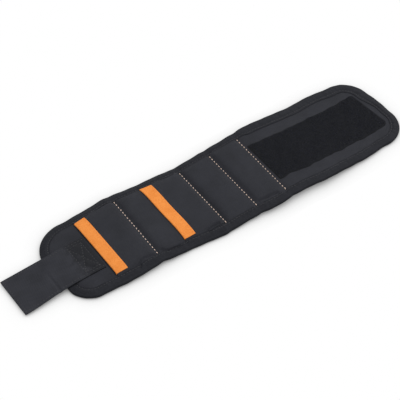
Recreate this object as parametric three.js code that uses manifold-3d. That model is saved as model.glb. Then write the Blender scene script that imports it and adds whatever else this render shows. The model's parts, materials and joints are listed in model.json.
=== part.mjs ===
// Magnetic wristband: a quilted fabric band that wraps round a wrist and closes with a hook strap.
// Millimetres, +Z up. X runs along the band from the strap tip to the loop end, -Y is the near edge.
// The band lies on a table with its outer side up, in the shallow waves that it keeps after being worn.
import * as THREE from "three";
import { mergeVertices } from "three/addons/utils/BufferGeometryUtils.js";
import Module from "manifold-3d";

// Clearances
const LAYER_GAP = 0.3; // between two sewn layers
const FOLD_GAP = 0.6; // between two sections at a fold line

// Band plan
const HALF_WIDTH = 45;
const LOOP_END_FLARE = 1.3; // extra half width of the loop end
const STRAP_END_RADIUS = 22;
const LOOP_END_RADIUS = 22;
const LOOP_END_BOW = 2.7; // how far the loop end bulges between its corners

// Section lengths along the band, from one fold line to the next
const STRAP_END_LENGTH = 38.5;
const FIRST_POCKET_LENGTH = 43.7;
const NARROW_QUILT_LENGTH = 27.3;
const SECOND_POCKET_LENGTH = 41.3;
const MIDDLE_QUILT_LENGTH = 34;
const LAST_QUILT_LENGTH = 34.2;
const LOOP_FOLD_SPACING = 35;

// Heights of the fold lines that the band's two waves lift off the table
const FIRST_WAVE_START = 0.6;
const FIRST_WAVE_TOP = 2.4;
const SECOND_WAVE_START = 2.1;
const SECOND_WAVE_TOP = 4.2;
const SECOND_WAVE_STOP = 1.45;

// Height that the padding adds in the middle of a section
const QUILT_CROWN = 1.2;
const POCKET_CROWN = 0.4;

// Sections from the strap end to the loop end, each with the height of its far fold line
const SECTIONS = [
  { length: STRAP_END_LENGTH, lift: FIRST_WAVE_START, crown: POCKET_CROWN },
  { length: FIRST_POCKET_LENGTH, lift: FIRST_WAVE_TOP, crown: POCKET_CROWN, pocket: 1, magnets: true },
  { length: NARROW_QUILT_LENGTH, lift: 0, crown: QUILT_CROWN, magnets: true },
  { length: SECOND_POCKET_LENGTH, lift: 0, crown: POCKET_CROWN, pocket: 2, magnets: true },
  { length: MIDDLE_QUILT_LENGTH, lift: SECOND_WAVE_START, crown: QUILT_CROWN, magnets: true },
  { length: LAST_QUILT_LENGTH, lift: SECOND_WAVE_TOP, crown: QUILT_CROWN, magnets: true },
  { length: LOOP_FOLD_SPACING, lift: SECOND_WAVE_TOP, crown: 0, loop: true },
  { length: LOOP_FOLD_SPACING, lift: SECOND_WAVE_STOP, crown: 0, loop: true },
  { length: LOOP_FOLD_SPACING, lift: 0, crown: 0, loop: true },
  { length: LOOP_FOLD_SPACING, lift: 0, crown: 0, loop: true },
];
const ROOT_SECTION = 3; // lies flat on the table and carries the others

// Layers
const COVER_THICKNESS = 0.7;
const PADDED_SHOULDER = 5; // cover height beside the binding, on the padded sections
const LOOP_SHOULDER = 3.6; // cover height beside the binding, on the loop end
const SEAM_DEPTH = 1.8; // how far a cross seam draws the cover down
const BACKING_RIM = 0.5; // foam thickness inside the binding
const BINDING_WIDTH = 10;
const BINDING_THICKNESS = 0.7;

// Pocket panels and their mouth tapes
const POCKET_THICKNESS = 0.9;
const POCKET_SEAM_MARGIN = 1.5; // from the closed end of the pocket to the fold line
const TAPE_WIDTH = 13;
const TAPE_THICKNESS = 0.7;

// Magnets, two side by side in each section that has them
const MAGNET_DIAMETER = 20;
const MAGNET_THICKNESS = 2.5;
const MAGNET_SPACING = 34;
const MAGNET_FLOOR = 1.2; // foam left under a magnet

// Strap and its hook tape
const STRAP_WIDTH = 40;
const STRAP_OFFSET = -3; // from the band's middle towards the near edge
const STRAP_THICKNESS = 1.1;
const STRAP_REACH = 41; // free length beyond the end of the pad
const STRAP_FOLD_HALF = 0.85; // from the strap's fold line to the round centre of each side
const HOOK_THICKNESS = 1.2;
const HOOK_MARGIN = 1; // strap border left round the hook tape
const HOOK_SETBACK = 5; // bare strap beside the fold

// Loop patch
const LOOP_WIDTH = 50;
const LOOP_THICKNESS = 1.4;
const LOOP_FIRST_MARGIN = 3; // from the last cross seam to the patch
const LOOP_LAST_MARGIN = 13; // from the patch to the end of the band
const LOOP_CORNER_RADIUS = 4;

// Facets
const CORNER_STEPS = 5;
const BOW_SHARES = [0.7, 0.35]; // places on each half of an end's bulge
const QUILT_ROWS = [0.4, 0.75]; // places on each half of the width inside the binding
const END_ROW = 0.6; // place between the middle and the corner of a rounded end
const BED_SHARES = [0, 0.25, 0.5, 0.75, 1]; // places along the sewn part of the strap
const ROUND_SIDES = 20;
const ROUND_STEPS = 6;
const QUILT_COLUMNS = 8;
const LOOP_END_COLUMNS = 4;
const THIN_EDGE = 0.08; // half thickness left at the round edge of the strap

// Places that follow from the driving dimensions
const PAD_LENGTH = SECTIONS.reduce((sum, section) => sum + section.length, 0);
const PAD_START = (STRAP_REACH - PAD_LENGTH) / 2;
const PAD_END = PAD_START + PAD_LENGTH;
const folds = [PAD_START];
const lifts = [0];
for (const section of SECTIONS) {
  folds.push(folds.at(-1) + section.length);
  lifts.push(section.lift);
}
const LAST = SECTIONS.length - 1;
const LOOP_START_FOLD = folds[SECTIONS.findIndex((section) => section.loop)];
const FLARE_END = LOOP_START_FOLD + LOOP_FOLD_SPACING;
const RIM_BOTTOM = BINDING_THICKNESS + LAYER_GAP;
const RIM_COVER_TOP = RIM_BOTTOM + BACKING_RIM + LAYER_GAP + COVER_THICKNESS;
const EDGE_HEIGHT = RIM_COVER_TOP + LAYER_GAP + BINDING_THICKNESS;
const EDGE_RADIUS = EDGE_HEIGHT / 2;
const EDGE_INSET = EDGE_RADIUS; // the layers stop where the binding's inner round begins
const BINDING_REACH = BINDING_WIDTH + 1.5 * LAYER_GAP; // cover that the strap must clear as binding
const CUT_HEIGHT = 2 * PADDED_SHOULDER; // above every section

const wasm = await Module();
wasm.setup();

// Materials
const fabric = (color, roughness) => new THREE.MeshStandardMaterial({ color, roughness });
const coverFabric = fabric(0x37393d, 0.85);
const bindingFabric = fabric(0x2a2b2f, 0.8);
const liningFoam = fabric(0x1f2023, 0.95);
const orangeTape = fabric(0xf29846, 0.6);
const strapWebbing = fabric(0x36383c, 0.85);
const loopPile = fabric(0x222429, 1);
const hookField = fabric(0x1c1d20, 0.7);
const magnetSteel = new THREE.MeshStandardMaterial({ color: 0x8d9096, roughness: 0.35, metalness: 1 });

// Geometry helpers

function closedGeometry(points, faces) {
  const geometry = new THREE.BufferGeometry();
  geometry.setAttribute("position", new THREE.Float32BufferAttribute(points, 3));
  geometry.setIndex(faces);
  const a = new THREE.Vector3();
  const b = new THREE.Vector3();
  const c = new THREE.Vector3();
  let volume = 0;
  for (let i = 0; i < faces.length; i += 3) {
    a.fromArray(points, faces[i] * 3);
    b.fromArray(points, faces[i + 1] * 3);
    c.fromArray(points, faces[i + 2] * 3);
    volume += a.dot(b.cross(c));
  }
  if (volume < 0) geometry.setIndex(faces.toReversed());
  return geometry;
}

// A sheet with thickness: plan(u, v) gives x and y, and lower and upper give its two heights there.
function sheetGeometry(us, vs, plan, lower, upper) {
  const points = [];
  const faces = [];
  const along = us.length;
  const layer = along * vs.length;
  for (const height of [lower, upper]) {
    for (const v of vs) {
      for (const u of us) {
        const [x, y] = plan(u, v);
        points.push(x, y, height(x, y));
      }
    }
  }
  const quad = (a, b, c, d) => faces.push(a, b, c, a, c, d);
  for (let j = 0; j + 1 < vs.length; j++) {
    for (let i = 0; i + 1 < along; i++) {
      const at = j * along + i;
      quad(layer + at, layer + at + 1, layer + at + along + 1, layer + at + along);
      quad(at, at + along, at + along + 1, at + 1);
    }
  }
  const rim = [];
  for (let i = 0; i + 1 < along; i++) rim.push(i);
  for (let j = 0; j + 1 < vs.length; j++) rim.push(j * along + along - 1);
  for (let i = along - 1; i > 0; i--) rim.push((vs.length - 1) * along + i);
  for (let j = vs.length - 1; j > 0; j--) rim.push(j * along);
  rim.forEach((at, k) => {
    const next = rim[(k + 1) % rim.length];
    quad(at, next, layer + next, layer + at);
  });
  return closedGeometry(points, faces);
}

// A closed profile of [inward distance, height] carried along stations { x, y, inward }.
function sweptGeometry(stations, profile) {
  const points = [];
  const faces = [];
  const count = profile.length;
  for (const { x, y, inward } of stations) {
    for (const [d, z] of profile) points.push(x + inward.x * d, y + inward.y * d, z);
  }
  for (let k = 0; k + 1 < stations.length; k++) {
    for (let j = 0; j < count; j++) {
      const here = k * count + j;
      const beside = k * count + ((j + 1) % count);
      faces.push(here, beside, beside + count, here, beside + count, here + count);
    }
  }
  const contour = profile.map(([d, z]) => new THREE.Vector2(d, z));
  const turned = THREE.ShapeUtils.isClockWise(contour);
  const last = (stations.length - 1) * count;
  for (const cap of THREE.ShapeUtils.triangulateShape(contour, [])) {
    const [a, b, c] = turned ? cap.toReversed() : cap;
    faces.push(a, c, b, last + a, last + b, last + c);
  }
  return closedGeometry(points, faces);
}

// An outline of the X and Z directions, carried across the band from one Y to another.
function acrossGeometry(outline, fromY, toY) {
  const depth = toY - fromY;
  const settings = { depth, bevelEnabled: false, curveSegments: ROUND_STEPS };
  const geometry = new THREE.ExtrudeGeometry(outline, settings);
  return geometry.rotateX(Math.PI / 2).translate(0, toY, 0);
}

function solidOf(geometry) {
  const bare = geometry.clone();
  bare.deleteAttribute("normal");
  bare.deleteAttribute("uv");
  const merged = mergeVertices(bare, 1e-4);
  const vertProperties = merged.attributes.position.array;
  const triVerts = new Uint32Array(merged.index.array);
  return new wasm.Manifold(new wasm.Mesh({ numProp: 3, vertProperties, triVerts }));
}

function cutGeometry(geometry, cutters) {
  const solid = cutters.reduce((left, cutter) => left.subtract(solidOf(cutter)), solidOf(geometry));
  const mesh = solid.getMesh();
  const cut = new THREE.BufferGeometry();
  cut.setAttribute("position", new THREE.BufferAttribute(mesh.vertProperties, 3));
  cut.setIndex(new THREE.BufferAttribute(mesh.triVerts, 1));
  return cut;
}

// Band outline

function halfWidth(x) {
  const flare = THREE.MathUtils.clamp((x - LOOP_START_FOLD) / (FLARE_END - LOOP_START_FOLD), 0, 1);
  return HALF_WIDTH + LOOP_END_FLARE * flare;
}

// The two rounded ends: side is -1 at the strap end and 1 at the loop end.
const strapEnd = { side: -1, tip: PAD_START, radius: STRAP_END_RADIUS, bow: 0, width: HALF_WIDTH };
const loopEnd = {
  side: 1,
  tip: PAD_END,
  radius: LOOP_END_RADIUS,
  bow: LOOP_END_BOW,
  width: HALF_WIDTH + LOOP_END_FLARE,
};
const endOf = new Map([
  [0, strapEnd],
  [LAST, loopEnd],
]);

// The X of a rounded end at a place across it, moved inwards by an inset.
function endX(end, y, inset) {
  const radius = end.radius - inset;
  const corner = end.width - end.radius;
  const beyond = THREE.MathUtils.clamp(Math.abs(y) - corner, 0, radius);
  const bulge = end.bow * Math.min(1, Math.abs(y) / corner) ** 2;
  const rounding = radius - Math.sqrt(radius * radius - beyond * beyond);
  return end.tip - end.side * (inset + bulge + rounding);
}

// Distance from a place on the band inwards from its outer edge.
function edgeDistance(index, x, y) {
  const sideways = halfWidth(x) - Math.abs(y);
  const end = endOf.get(index);
  if (!end) return sideways;
  const cornerY = end.width - end.radius;
  const cornerX = end.tip - end.side * (end.bow + end.radius);
  const past = end.side * (x - cornerX);
  if (past > 0 && Math.abs(y) > cornerY) {
    return end.radius - Math.hypot(past, Math.abs(y) - cornerY);
  }
  const endwise = end.side * (endX(end, y, 0) - x);
  return Math.min(sideways, endwise);
}

// The edge of a section as stations: one straight run, or round the end from edge to edge.
function straightStations(index, side) {
  const inward = new THREE.Vector2(0, -side);
  return [sectionStart(index), sectionStop(index)].map((x) => ({ x, y: side * halfWidth(x), inward }));
}

function endStations(index, end) {
  const foldX = end.side > 0 ? sectionStart(index) : sectionStop(index);
  const cornerY = end.width - end.radius;
  const cornerX = end.tip - end.side * (end.bow + end.radius);
  const half = [{ x: foldX, y: halfWidth(foldX), inward: new THREE.Vector2(0, -1) }];
  for (let k = 0; k <= CORNER_STEPS; k++) {
    const turn = (Math.PI / 2) * (k / CORNER_STEPS);
    const out = new THREE.Vector2(end.side * Math.sin(turn), Math.cos(turn));
    const place = out.clone().multiplyScalar(end.radius).add(new THREE.Vector2(cornerX, cornerY));
    half.push({ x: place.x, y: place.y, inward: out.negate() });
  }
  for (const share of BOW_SHARES) {
    const y = cornerY * share;
    const out = new THREE.Vector2(end.side, (2 * end.bow * y) / cornerY ** 2).normalize();
    half.push({ x: endX(end, y, 0), y, inward: out.negate() });
  }
  const middle = { x: end.tip, y: 0, inward: new THREE.Vector2(-end.side, 0) };
  const mirrored = (station) => ({
    x: station.x,
    y: -station.y,
    inward: new THREE.Vector2(station.inward.x, -station.inward.y),
  });
  return [...half, middle, ...half.map(mirrored).toReversed()];
}

// Section plan and heights

function sectionStart(index) {
  return index === 0 ? PAD_START : folds[index] + FOLD_GAP / 2;
}

function sectionStop(index) {
  return index === LAST ? PAD_END : folds[index + 1] - FOLD_GAP / 2;
}

// Rows across a section as shares of its half width: close together at the binding and the corners.
function rowsAcross(index) {
  const end = endOf.get(index);
  const limit = HALF_WIDTH - EDGE_INSET;
  const inner = (HALF_WIDTH - BINDING_WIDTH) / limit;
  const half = [];
  if (end) {
    const width = end.width - EDGE_INSET;
    const corner = (end.width - end.radius) / width;
    half.push(corner * END_ROW);
    for (let k = 0; k <= CORNER_STEPS; k++) {
      half.push(corner + (1 - corner) * Math.sin((Math.PI / 2) * (k / CORNER_STEPS)));
    }
  } else {
    half.push(...QUILT_ROWS.map((share) => share * inner), inner, 1);
  }
  return [...half.map((v) => -v).toReversed(), 0, ...half];
}

function columnsAlong(index) {
  const loopColumns = index === LAST ? LOOP_END_COLUMNS : 1;
  const count = SECTIONS[index].loop ? loopColumns : QUILT_COLUMNS;
  return Array.from({ length: count + 1 }, (_, k) => k / count);
}

// The plan of a section's layers inside its binding: u from 0 to 1 along X, v from -1 to 1 across.
function layerPlan(index) {
  const end = endOf.get(index);
  if (!end) {
    return (u, v) => {
      const x = THREE.MathUtils.lerp(sectionStart(index), sectionStop(index), u);
      return [x, v * (halfWidth(x) - EDGE_INSET)];
    };
  }
  return (u, v) => {
    const y = v * (end.width - EDGE_INSET);
    const rounded = endX(end, y, EDGE_INSET);
    const from = end.side > 0 ? sectionStart(index) : rounded;
    const to = end.side > 0 ? rounded : sectionStop(index);
    const x = THREE.MathUtils.lerp(from, to, u);
    return [x, v * (Math.min(halfWidth(x), end.width) - EDGE_INSET)];
  };
}

// How far a section's padding has risen from its cross seams (0) to its middle (1).
function seamRise(index, x) {
  const { length } = SECTIONS[index];
  const half = length / 2;
  const fromStart = index === 0 ? half : x - folds[index];
  const fromStop = index === LAST ? half : folds[index + 1] - x;
  const share = THREE.MathUtils.clamp(Math.min(fromStart, fromStop) / half, 0, 1);
  return 1 - (1 - share) ** 3;
}

function coverTop(index, x, y) {
  const { crown, loop } = SECTIONS[index];
  const shoulder = loop ? LOOP_SHOULDER : PADDED_SHOULDER;
  const distance = edgeDistance(index, x, y);
  const slope = THREE.MathUtils.clamp((distance - EDGE_INSET) / (BINDING_WIDTH - EDGE_INSET), 0, 1);
  const base = THREE.MathUtils.lerp(RIM_COVER_TOP, shoulder, slope);
  if (loop || distance <= BINDING_WIDTH) return base;
  const share = Math.min(1, (distance - BINDING_WIDTH) / (HALF_WIDTH - BINDING_WIDTH));
  const edgeRise = 1 - (1 - share) ** 4;
  const rise = seamRise(index, x);
  return base + edgeRise * (crown * rise - SEAM_DEPTH * (1 - rise));
}

// The binding's top above the cover, where the binding covers it.
function bandTop(index, x, y) {
  const covered = edgeDistance(index, x, y) < BINDING_REACH;
  const top = coverTop(index, x, y);
  return covered ? top + LAYER_GAP + BINDING_THICKNESS : top;
}

// Pieces of one section

const panels = SECTIONS.map(() => new THREE.Group());

function addPiece(panel, name, geometry, material) {
  const piece = new THREE.Mesh(geometry, material);
  piece.name = name;
  panel.add(piece);
}

function magnetCentres(index) {
  if (!SECTIONS[index].magnets) return [];
  const x = (folds[index] + folds[index + 1]) / 2;
  return [-MAGNET_SPACING / 2, MAGNET_SPACING / 2].map((y) => [x, y]);
}

function discGeometry(diameter, [x, y], fromZ, toZ) {
  const disc = new THREE.CylinderGeometry(diameter / 2, diameter / 2, toZ - fromZ, ROUND_SIDES);
  return disc.rotateX(Math.PI / 2).translate(x, y, (fromZ + toZ) / 2);
}

function addCover(index) {
  const lower = (x, y) => coverTop(index, x, y) - COVER_THICKNESS;
  const upper = (x, y) => coverTop(index, x, y);
  const geometry = sheetGeometry(columnsAlong(index), rowsAcross(index), layerPlan(index), lower, upper);
  addPiece(panels[index], `cover_${index + 1}`, geometry, coverFabric);
}

// The foam-backed lining, rebated for the binding underneath and recessed for the magnets on top.
function addBacking(index) {
  const upper = (x, y) => coverTop(index, x, y) - COVER_THICKNESS - LAYER_GAP;
  const plan = layerPlan(index);
  const foam = sheetGeometry(columnsAlong(index), rowsAcross(index), plan, () => 0, upper);
  const rebateWidth = BINDING_WIDTH + LAYER_GAP;
  const rebate = [
    [-RIM_BOTTOM, -RIM_BOTTOM],
    [rebateWidth, -RIM_BOTTOM],
    [rebateWidth, RIM_BOTTOM],
    [-RIM_BOTTOM, RIM_BOTTOM],
  ];
  const cutters = edgeRuns(index).map((run) => sweptGeometry(lengthened(run.stations), rebate));
  const recessWidth = MAGNET_DIAMETER + 2 * LAYER_GAP;
  for (const centre of magnetCentres(index)) {
    cutters.push(discGeometry(recessWidth, centre, MAGNET_FLOOR, CUT_HEIGHT));
  }
  addPiece(panels[index], `backing_${index + 1}`, cutGeometry(foam, cutters), liningFoam);
}

// Stations run on past both ends, so that a cut goes right through.
function lengthened(stations) {
  const stretch = (from, to) => ({
    x: to.x + Math.sign(to.x - from.x) * FOLD_GAP,
    y: to.y,
    inward: to.inward,
  });
  const first = stretch(stations[1], stations[0]);
  const last = stretch(stations.at(-2), stations.at(-1));
  return [first, ...stations, last];
}

function edgeRuns(index) {
  const end = endOf.get(index);
  if (end) {
    const name = end === strapEnd ? "binding_strap_end" : "binding_loop_end";
    return [{ name, stations: endStations(index, end) }];
  }
  return [
    { name: `binding_near_${index + 1}`, stations: straightStations(index, -1) },
    { name: `binding_far_${index + 1}`, stations: straightStations(index, 1) },
  ];
}

// The binding's section: a tape folded round the edge, whose upper leaf climbs the padding.
function bindingProfile(shoulder) {
  const leafTop = shoulder + LAYER_GAP;
  const profile = [[BINDING_WIDTH, 0]];
  const round = (radius, turn) => {
    const inward = EDGE_RADIUS - radius * Math.cos(turn);
    return [inward, EDGE_RADIUS + radius * Math.sin(turn)];
  };
  const turns = [-2, -1, 0, 1, 2].map((k) => (k * Math.PI) / 4);
  turns.forEach((turn) => profile.push(round(EDGE_RADIUS, turn)));
  profile.push([BINDING_WIDTH, leafTop + BINDING_THICKNESS], [BINDING_WIDTH, leafTop]);
  turns.toReversed().forEach((turn) => profile.push(round(EDGE_RADIUS - BINDING_THICKNESS, turn)));
  profile.push([BINDING_WIDTH, BINDING_THICKNESS]);
  return profile;
}

function addBinding(index) {
  const shoulder = SECTIONS[index].loop ? LOOP_SHOULDER : PADDED_SHOULDER;
  for (const run of edgeRuns(index)) {
    addPiece(panels[index], run.name, sweptGeometry(run.stations, bindingProfile(shoulder)), bindingFabric);
  }
}

let magnetCount = 0;

function addMagnets(index) {
  const seat = MAGNET_FLOOR + LAYER_GAP;
  for (const centre of magnetCentres(index)) {
    magnetCount += 1;
    const geometry = discGeometry(MAGNET_DIAMETER, centre, seat, seat + MAGNET_THICKNESS);
    addPiece(panels[index], `magnet_${magnetCount}`, geometry, magnetSteel);
  }
}

// The pocket panel lies on the cover between the bindings, with its mouth at the section's first fold.
function addPocket(index) {
  const number = SECTIONS[index].pocket;
  const reach = HALF_WIDTH - BINDING_WIDTH - LAYER_GAP;
  const half = [...QUILT_ROWS, 1];
  const across = [...half.map((share) => -share).toReversed(), 0, ...half];
  const mouth = sectionStart(index);
  const panelStart = mouth + TAPE_THICKNESS + LAYER_GAP;
  const panelStop = folds[index + 1] - POCKET_SEAM_MARGIN;
  const seat = (x, y) => coverTop(index, x, y) + LAYER_GAP;
  const panelTop = (x, y) => seat(x, y) + POCKET_THICKNESS;
  const panelPlan = (u, v) => [THREE.MathUtils.lerp(panelStart, panelStop, u), v * reach];
  const panel = sheetGeometry(columnsAlong(index), across, panelPlan, seat, panelTop);
  addPiece(panels[index], `pocket_panel_${number}`, panel, coverFabric);

  const lip = mouth + TAPE_THICKNESS;
  const tapeStop = mouth + TAPE_WIDTH;
  const tapeColumns = [mouth, lip, panelStart, (panelStart + tapeStop) / 2, tapeStop];
  const tapeBottom = (x, y) => (x < panelStart ? seat(x, y) : panelTop(x, y) + LAYER_GAP);
  const tapeTop = (x, y) => panelTop(Math.max(x, panelStart), y) + LAYER_GAP + TAPE_THICKNESS;
  const tape = sheetGeometry(tapeColumns, across, (x, v) => [x, v * reach], tapeBottom, tapeTop);
  addPiece(panels[index], `pocket_tape_${number}`, tape, orangeTape);
}

let loopCount = 0;

function addLoopPatch(index) {
  loopCount += 1;
  const start = Math.max(sectionStart(index), LOOP_START_FOLD + LOOP_FIRST_MARGIN);
  const stop = Math.min(sectionStop(index), PAD_END - LOOP_LAST_MARGIN);
  const half = LOOP_WIDTH / 2;
  const startRadius = start > sectionStart(index) ? LOOP_CORNER_RADIUS : 0;
  const stopRadius = stop < sectionStop(index) ? LOOP_CORNER_RADIUS : 0;
  const corners = [
    { x: stop - stopRadius, y: stopRadius - half, radius: stopRadius },
    { x: stop - stopRadius, y: half - stopRadius, radius: stopRadius },
    { x: start + startRadius, y: half - startRadius, radius: startRadius },
    { x: start + startRadius, y: startRadius - half, radius: startRadius },
  ];
  const outline = new THREE.Shape();
  corners.forEach(({ x, y, radius }, k) => {
    const turn = (k - 1) * (Math.PI / 2);
    if (radius) outline.absarc(x, y, radius, turn, turn + Math.PI / 2);
    else if (k) outline.lineTo(x, y);
    else outline.moveTo(x, y);
  });
  const settings = { depth: LOOP_THICKNESS, bevelEnabled: false, curveSegments: ROUND_STEPS };
  const geometry = new THREE.ExtrudeGeometry(outline, settings);
  geometry.translate(0, 0, LOOP_SHOULDER + LAYER_GAP);
  addPiece(panels[index], `loop_patch_${loopCount}`, geometry, loopPile);
}

// Strap: its root is sewn along the top of the first section and runs over the end binding.
const STRAP_HALF = STRAP_THICKNESS / 2;
const STRAP_FOLD_X = PAD_START - LAYER_GAP - STRAP_FOLD_HALF;
const STRAP_FOLD_Z = EDGE_HEIGHT + LAYER_GAP + STRAP_HALF;
const STRAP_TIP_X = PAD_START - STRAP_REACH;
const STRAP_NEAR = STRAP_OFFSET - STRAP_WIDTH / 2;
const STRAP_FAR = STRAP_OFFSET + STRAP_WIDTH / 2;

function addStrapRoot() {
  const index = 0;
  const roundX = STRAP_FOLD_X + STRAP_FOLD_HALF;
  const stop = sectionStop(index);
  const ramp = PAD_START + BINDING_WIDTH;
  const roundColumns = [0, 1, 2].map((k) => roundX - STRAP_HALF * Math.cos((k * Math.PI) / 6));
  const bedStart = ramp + 4 * LAYER_GAP;
  const bed = BED_SHARES.map((share) => THREE.MathUtils.lerp(bedStart, stop, share));
  const columns = [...roundColumns, roundX, PAD_START + EDGE_RADIUS, ramp, ramp + LAYER_GAP, ...bed];
  const middle = (x, y) => {
    const onBand = bandTop(index, Math.max(x, PAD_START + EDGE_RADIUS), y) + LAYER_GAP + STRAP_HALF;
    return x < PAD_START + EDGE_RADIUS ? STRAP_FOLD_Z : onBand;
  };
  const half = (x) => {
    const past = Math.max(0, roundX - x);
    return Math.max(THIN_EDGE, Math.sqrt(Math.max(0, STRAP_HALF ** 2 - past ** 2)));
  };
  const plan = (x, v) => [x, STRAP_OFFSET + (v * STRAP_WIDTH) / 2];
  const lower = (x, y) => middle(x, y) - half(x);
  const upper = (x, y) => middle(x, y) + half(x);
  const geometry = sheetGeometry(columns, [-1, -0.5, 0, 0.5, 1], plan, lower, upper);
  addPiece(panels[index], "strap_root", geometry, strapWebbing);
}

// The free strap turns at its fold line and rests its tip on the table.
function addStrapTail() {
  const slope = pitch(0);
  const overhang = STRAP_FOLD_X - PAD_START;
  const foldHeight = lifts[0] + STRAP_FOLD_Z * Math.cos(slope) + overhang * Math.sin(slope);
  const fall = foldHeight - (HOOK_THICKNESS + LAYER_GAP + STRAP_HALF);
  const run = STRAP_FOLD_X - STRAP_TIP_X;
  const length = Math.hypot(fall, run);
  const tail = new THREE.Group();
  tail.name = "strap_fold";
  tail.position.set(STRAP_FOLD_X, 0, STRAP_FOLD_Z);
  tail.rotation.y = slope - Math.atan2(fall, run);

  const outline = new THREE.Shape();
  outline.moveTo(-length, -STRAP_HALF);
  outline.lineTo(-STRAP_FOLD_HALF, -STRAP_HALF);
  outline.absarc(-STRAP_FOLD_HALF, 0, STRAP_HALF, -Math.PI / 2, Math.PI / 2);
  outline.lineTo(-length, STRAP_HALF);
  addPiece(tail, "strap_tail", acrossGeometry(outline, STRAP_NEAR, STRAP_FAR), strapWebbing);

  const hookTop = -STRAP_HALF - LAYER_GAP;
  const hook = new THREE.Shape();
  hook.moveTo(HOOK_MARGIN - length, hookTop - HOOK_THICKNESS);
  hook.lineTo(-HOOK_SETBACK, hookTop - HOOK_THICKNESS);
  hook.lineTo(-HOOK_SETBACK, hookTop);
  hook.lineTo(HOOK_MARGIN - length, hookTop);
  const hookTape = acrossGeometry(hook, STRAP_NEAR + HOOK_MARGIN, STRAP_FAR - HOOK_MARGIN);
  addPiece(tail, "hook_tape", hookTape, hookField);
  panels[0].add(tail);
}

// Assembly: each section hangs on its neighbour at their fold line, outwards from the root section.

function pitch(index) {
  return Math.asin((lifts[index + 1] - lifts[index]) / SECTIONS[index].length);
}

function joinAtFold(carrier, carried, fold) {
  const hinge = new THREE.Group();
  hinge.name = `fold_${fold}`;
  hinge.position.x = folds[fold];
  hinge.rotation.y = pitch(carrier) - pitch(carried);
  panels[carried].position.x = -folds[fold];
  hinge.add(panels[carried]);
  panels[carrier].add(hinge);
}

SECTIONS.forEach((section, index) => {
  addBacking(index);
  addMagnets(index);
  addCover(index);
  addBinding(index);
  if (section.pocket) addPocket(index);
  if (section.loop) addLoopPatch(index);
});
addStrapRoot();
addStrapTail();
for (let index = ROOT_SECTION; index < LAST; index++) joinAtFold(index, index + 1, index + 1);
for (let index = ROOT_SECTION; index > 0; index--) joinAtFold(index, index - 1, index);

const wristband = new THREE.Group();
wristband.add(panels[ROOT_SECTION]);
wristband.updateMatrixWorld(true);
const box = new THREE.Box3().setFromObject(wristband, true);
const centre = box.getCenter(new THREE.Vector3());
panels[ROOT_SECTION].position.set(-centre.x, -centre.y, -box.min.z);

export default wristband;
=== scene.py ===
import json
from math import cos, pi, radians, sin

import bmesh
import bpy
import numpy as np
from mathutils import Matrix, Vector


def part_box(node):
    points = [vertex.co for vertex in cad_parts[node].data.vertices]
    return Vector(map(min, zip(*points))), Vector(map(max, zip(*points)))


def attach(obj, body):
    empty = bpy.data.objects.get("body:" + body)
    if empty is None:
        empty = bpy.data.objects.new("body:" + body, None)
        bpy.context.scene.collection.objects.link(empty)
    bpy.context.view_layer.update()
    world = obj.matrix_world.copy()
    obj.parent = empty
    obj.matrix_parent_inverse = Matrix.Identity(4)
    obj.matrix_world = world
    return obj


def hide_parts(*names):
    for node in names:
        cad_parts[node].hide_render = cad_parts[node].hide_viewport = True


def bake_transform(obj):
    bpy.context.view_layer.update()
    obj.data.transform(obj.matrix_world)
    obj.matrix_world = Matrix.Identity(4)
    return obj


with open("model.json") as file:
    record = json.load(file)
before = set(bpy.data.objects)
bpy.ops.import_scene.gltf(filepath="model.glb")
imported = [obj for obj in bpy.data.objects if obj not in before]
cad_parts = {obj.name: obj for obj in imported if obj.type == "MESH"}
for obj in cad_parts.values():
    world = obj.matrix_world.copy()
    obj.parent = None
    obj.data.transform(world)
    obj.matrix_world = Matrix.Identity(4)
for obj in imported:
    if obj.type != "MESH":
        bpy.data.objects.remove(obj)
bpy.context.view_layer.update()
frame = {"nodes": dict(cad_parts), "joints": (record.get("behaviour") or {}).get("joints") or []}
scene = bpy.context.scene
scene.view_settings.view_transform = "Standard"
MM = 0.001

# Plan of the band
SECTION_LENGTHS = (38.5, 43.7, 27.3, 41.3, 34.0, 34.2, 35.0, 35.0, 35.0, 35.0)
FOLD_JOINTS = ("fold_1", "fold_2", "fold_3", "wrap", "fold_5", "fold_6", "fold_7", "fold_8", "fold_9")
PAD_START = -159.0
HALF_WIDTH = 45.0
PAD_END = PAD_START + sum(SECTION_LENGTHS)
EDGE_TAPERS = (  # side, where its edge starts and stops to lean towards an end, and by how much outwards
    (-1, 60, 95, 1.3),
    (-1, 138, 171, -3.3),
    (1, -108, -130, -1.6),
    (1, 60, 95, 1.3),
    (1, 135, 165, 1.2),
)
ENDS = {  # the rounded ends, with the bow and the corner radius of their near and far sides
    1: {"tip": PAD_START, "side": -1, "bows": (0.0, -2.8), "bow_reach": 18.0, "radii": (22.0, 33.0)},
    9: {"tip": PAD_END + 0.5, "side": 1, "bows": (0.0, 7.0), "bow_reach": 60.0, "radii": (29.0, 20.0)},
}
EDGE_SWELLS = (  # side, place along, reach and amount by which the edge stands out
    (-1, -105, 18, 1.2),
    (-1, -14, 22, 3.0),
    (-1, 44, 30, 3.6),
    (-1, 98, 20, 2.0),
    (1, -110, 22, -0.9),
    (1, -80, 14, 1.0),
    (1, -5, 26, -1.5),
    (1, 70, 16, 2.3),
    (1, 145, 18, 1.9),
)
WAVE_EASE = 9.0  # how far from a fold line the band's rest bend is spread
EVEN_ENDS = (26.0, 28.0)  # the edges are even this far from the strap end and the loop end
EVEN_EASE = 20.0
SEAM_PULL = 0.6  # how far a cross seam draws the edges in
SEAM_PULL_REACH = 4.0
# How far before and after each fold line the cloth would bend; bend() works out places from these but does
# not use them
BEND_REACHES = ((10, 1), (7, 5), (4.5, 1), (7, 7), (7, 7), (8, 2), (15, 15), (15, 15), (15, 15))
FIRST_LOOP_SPAN = 7

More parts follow.
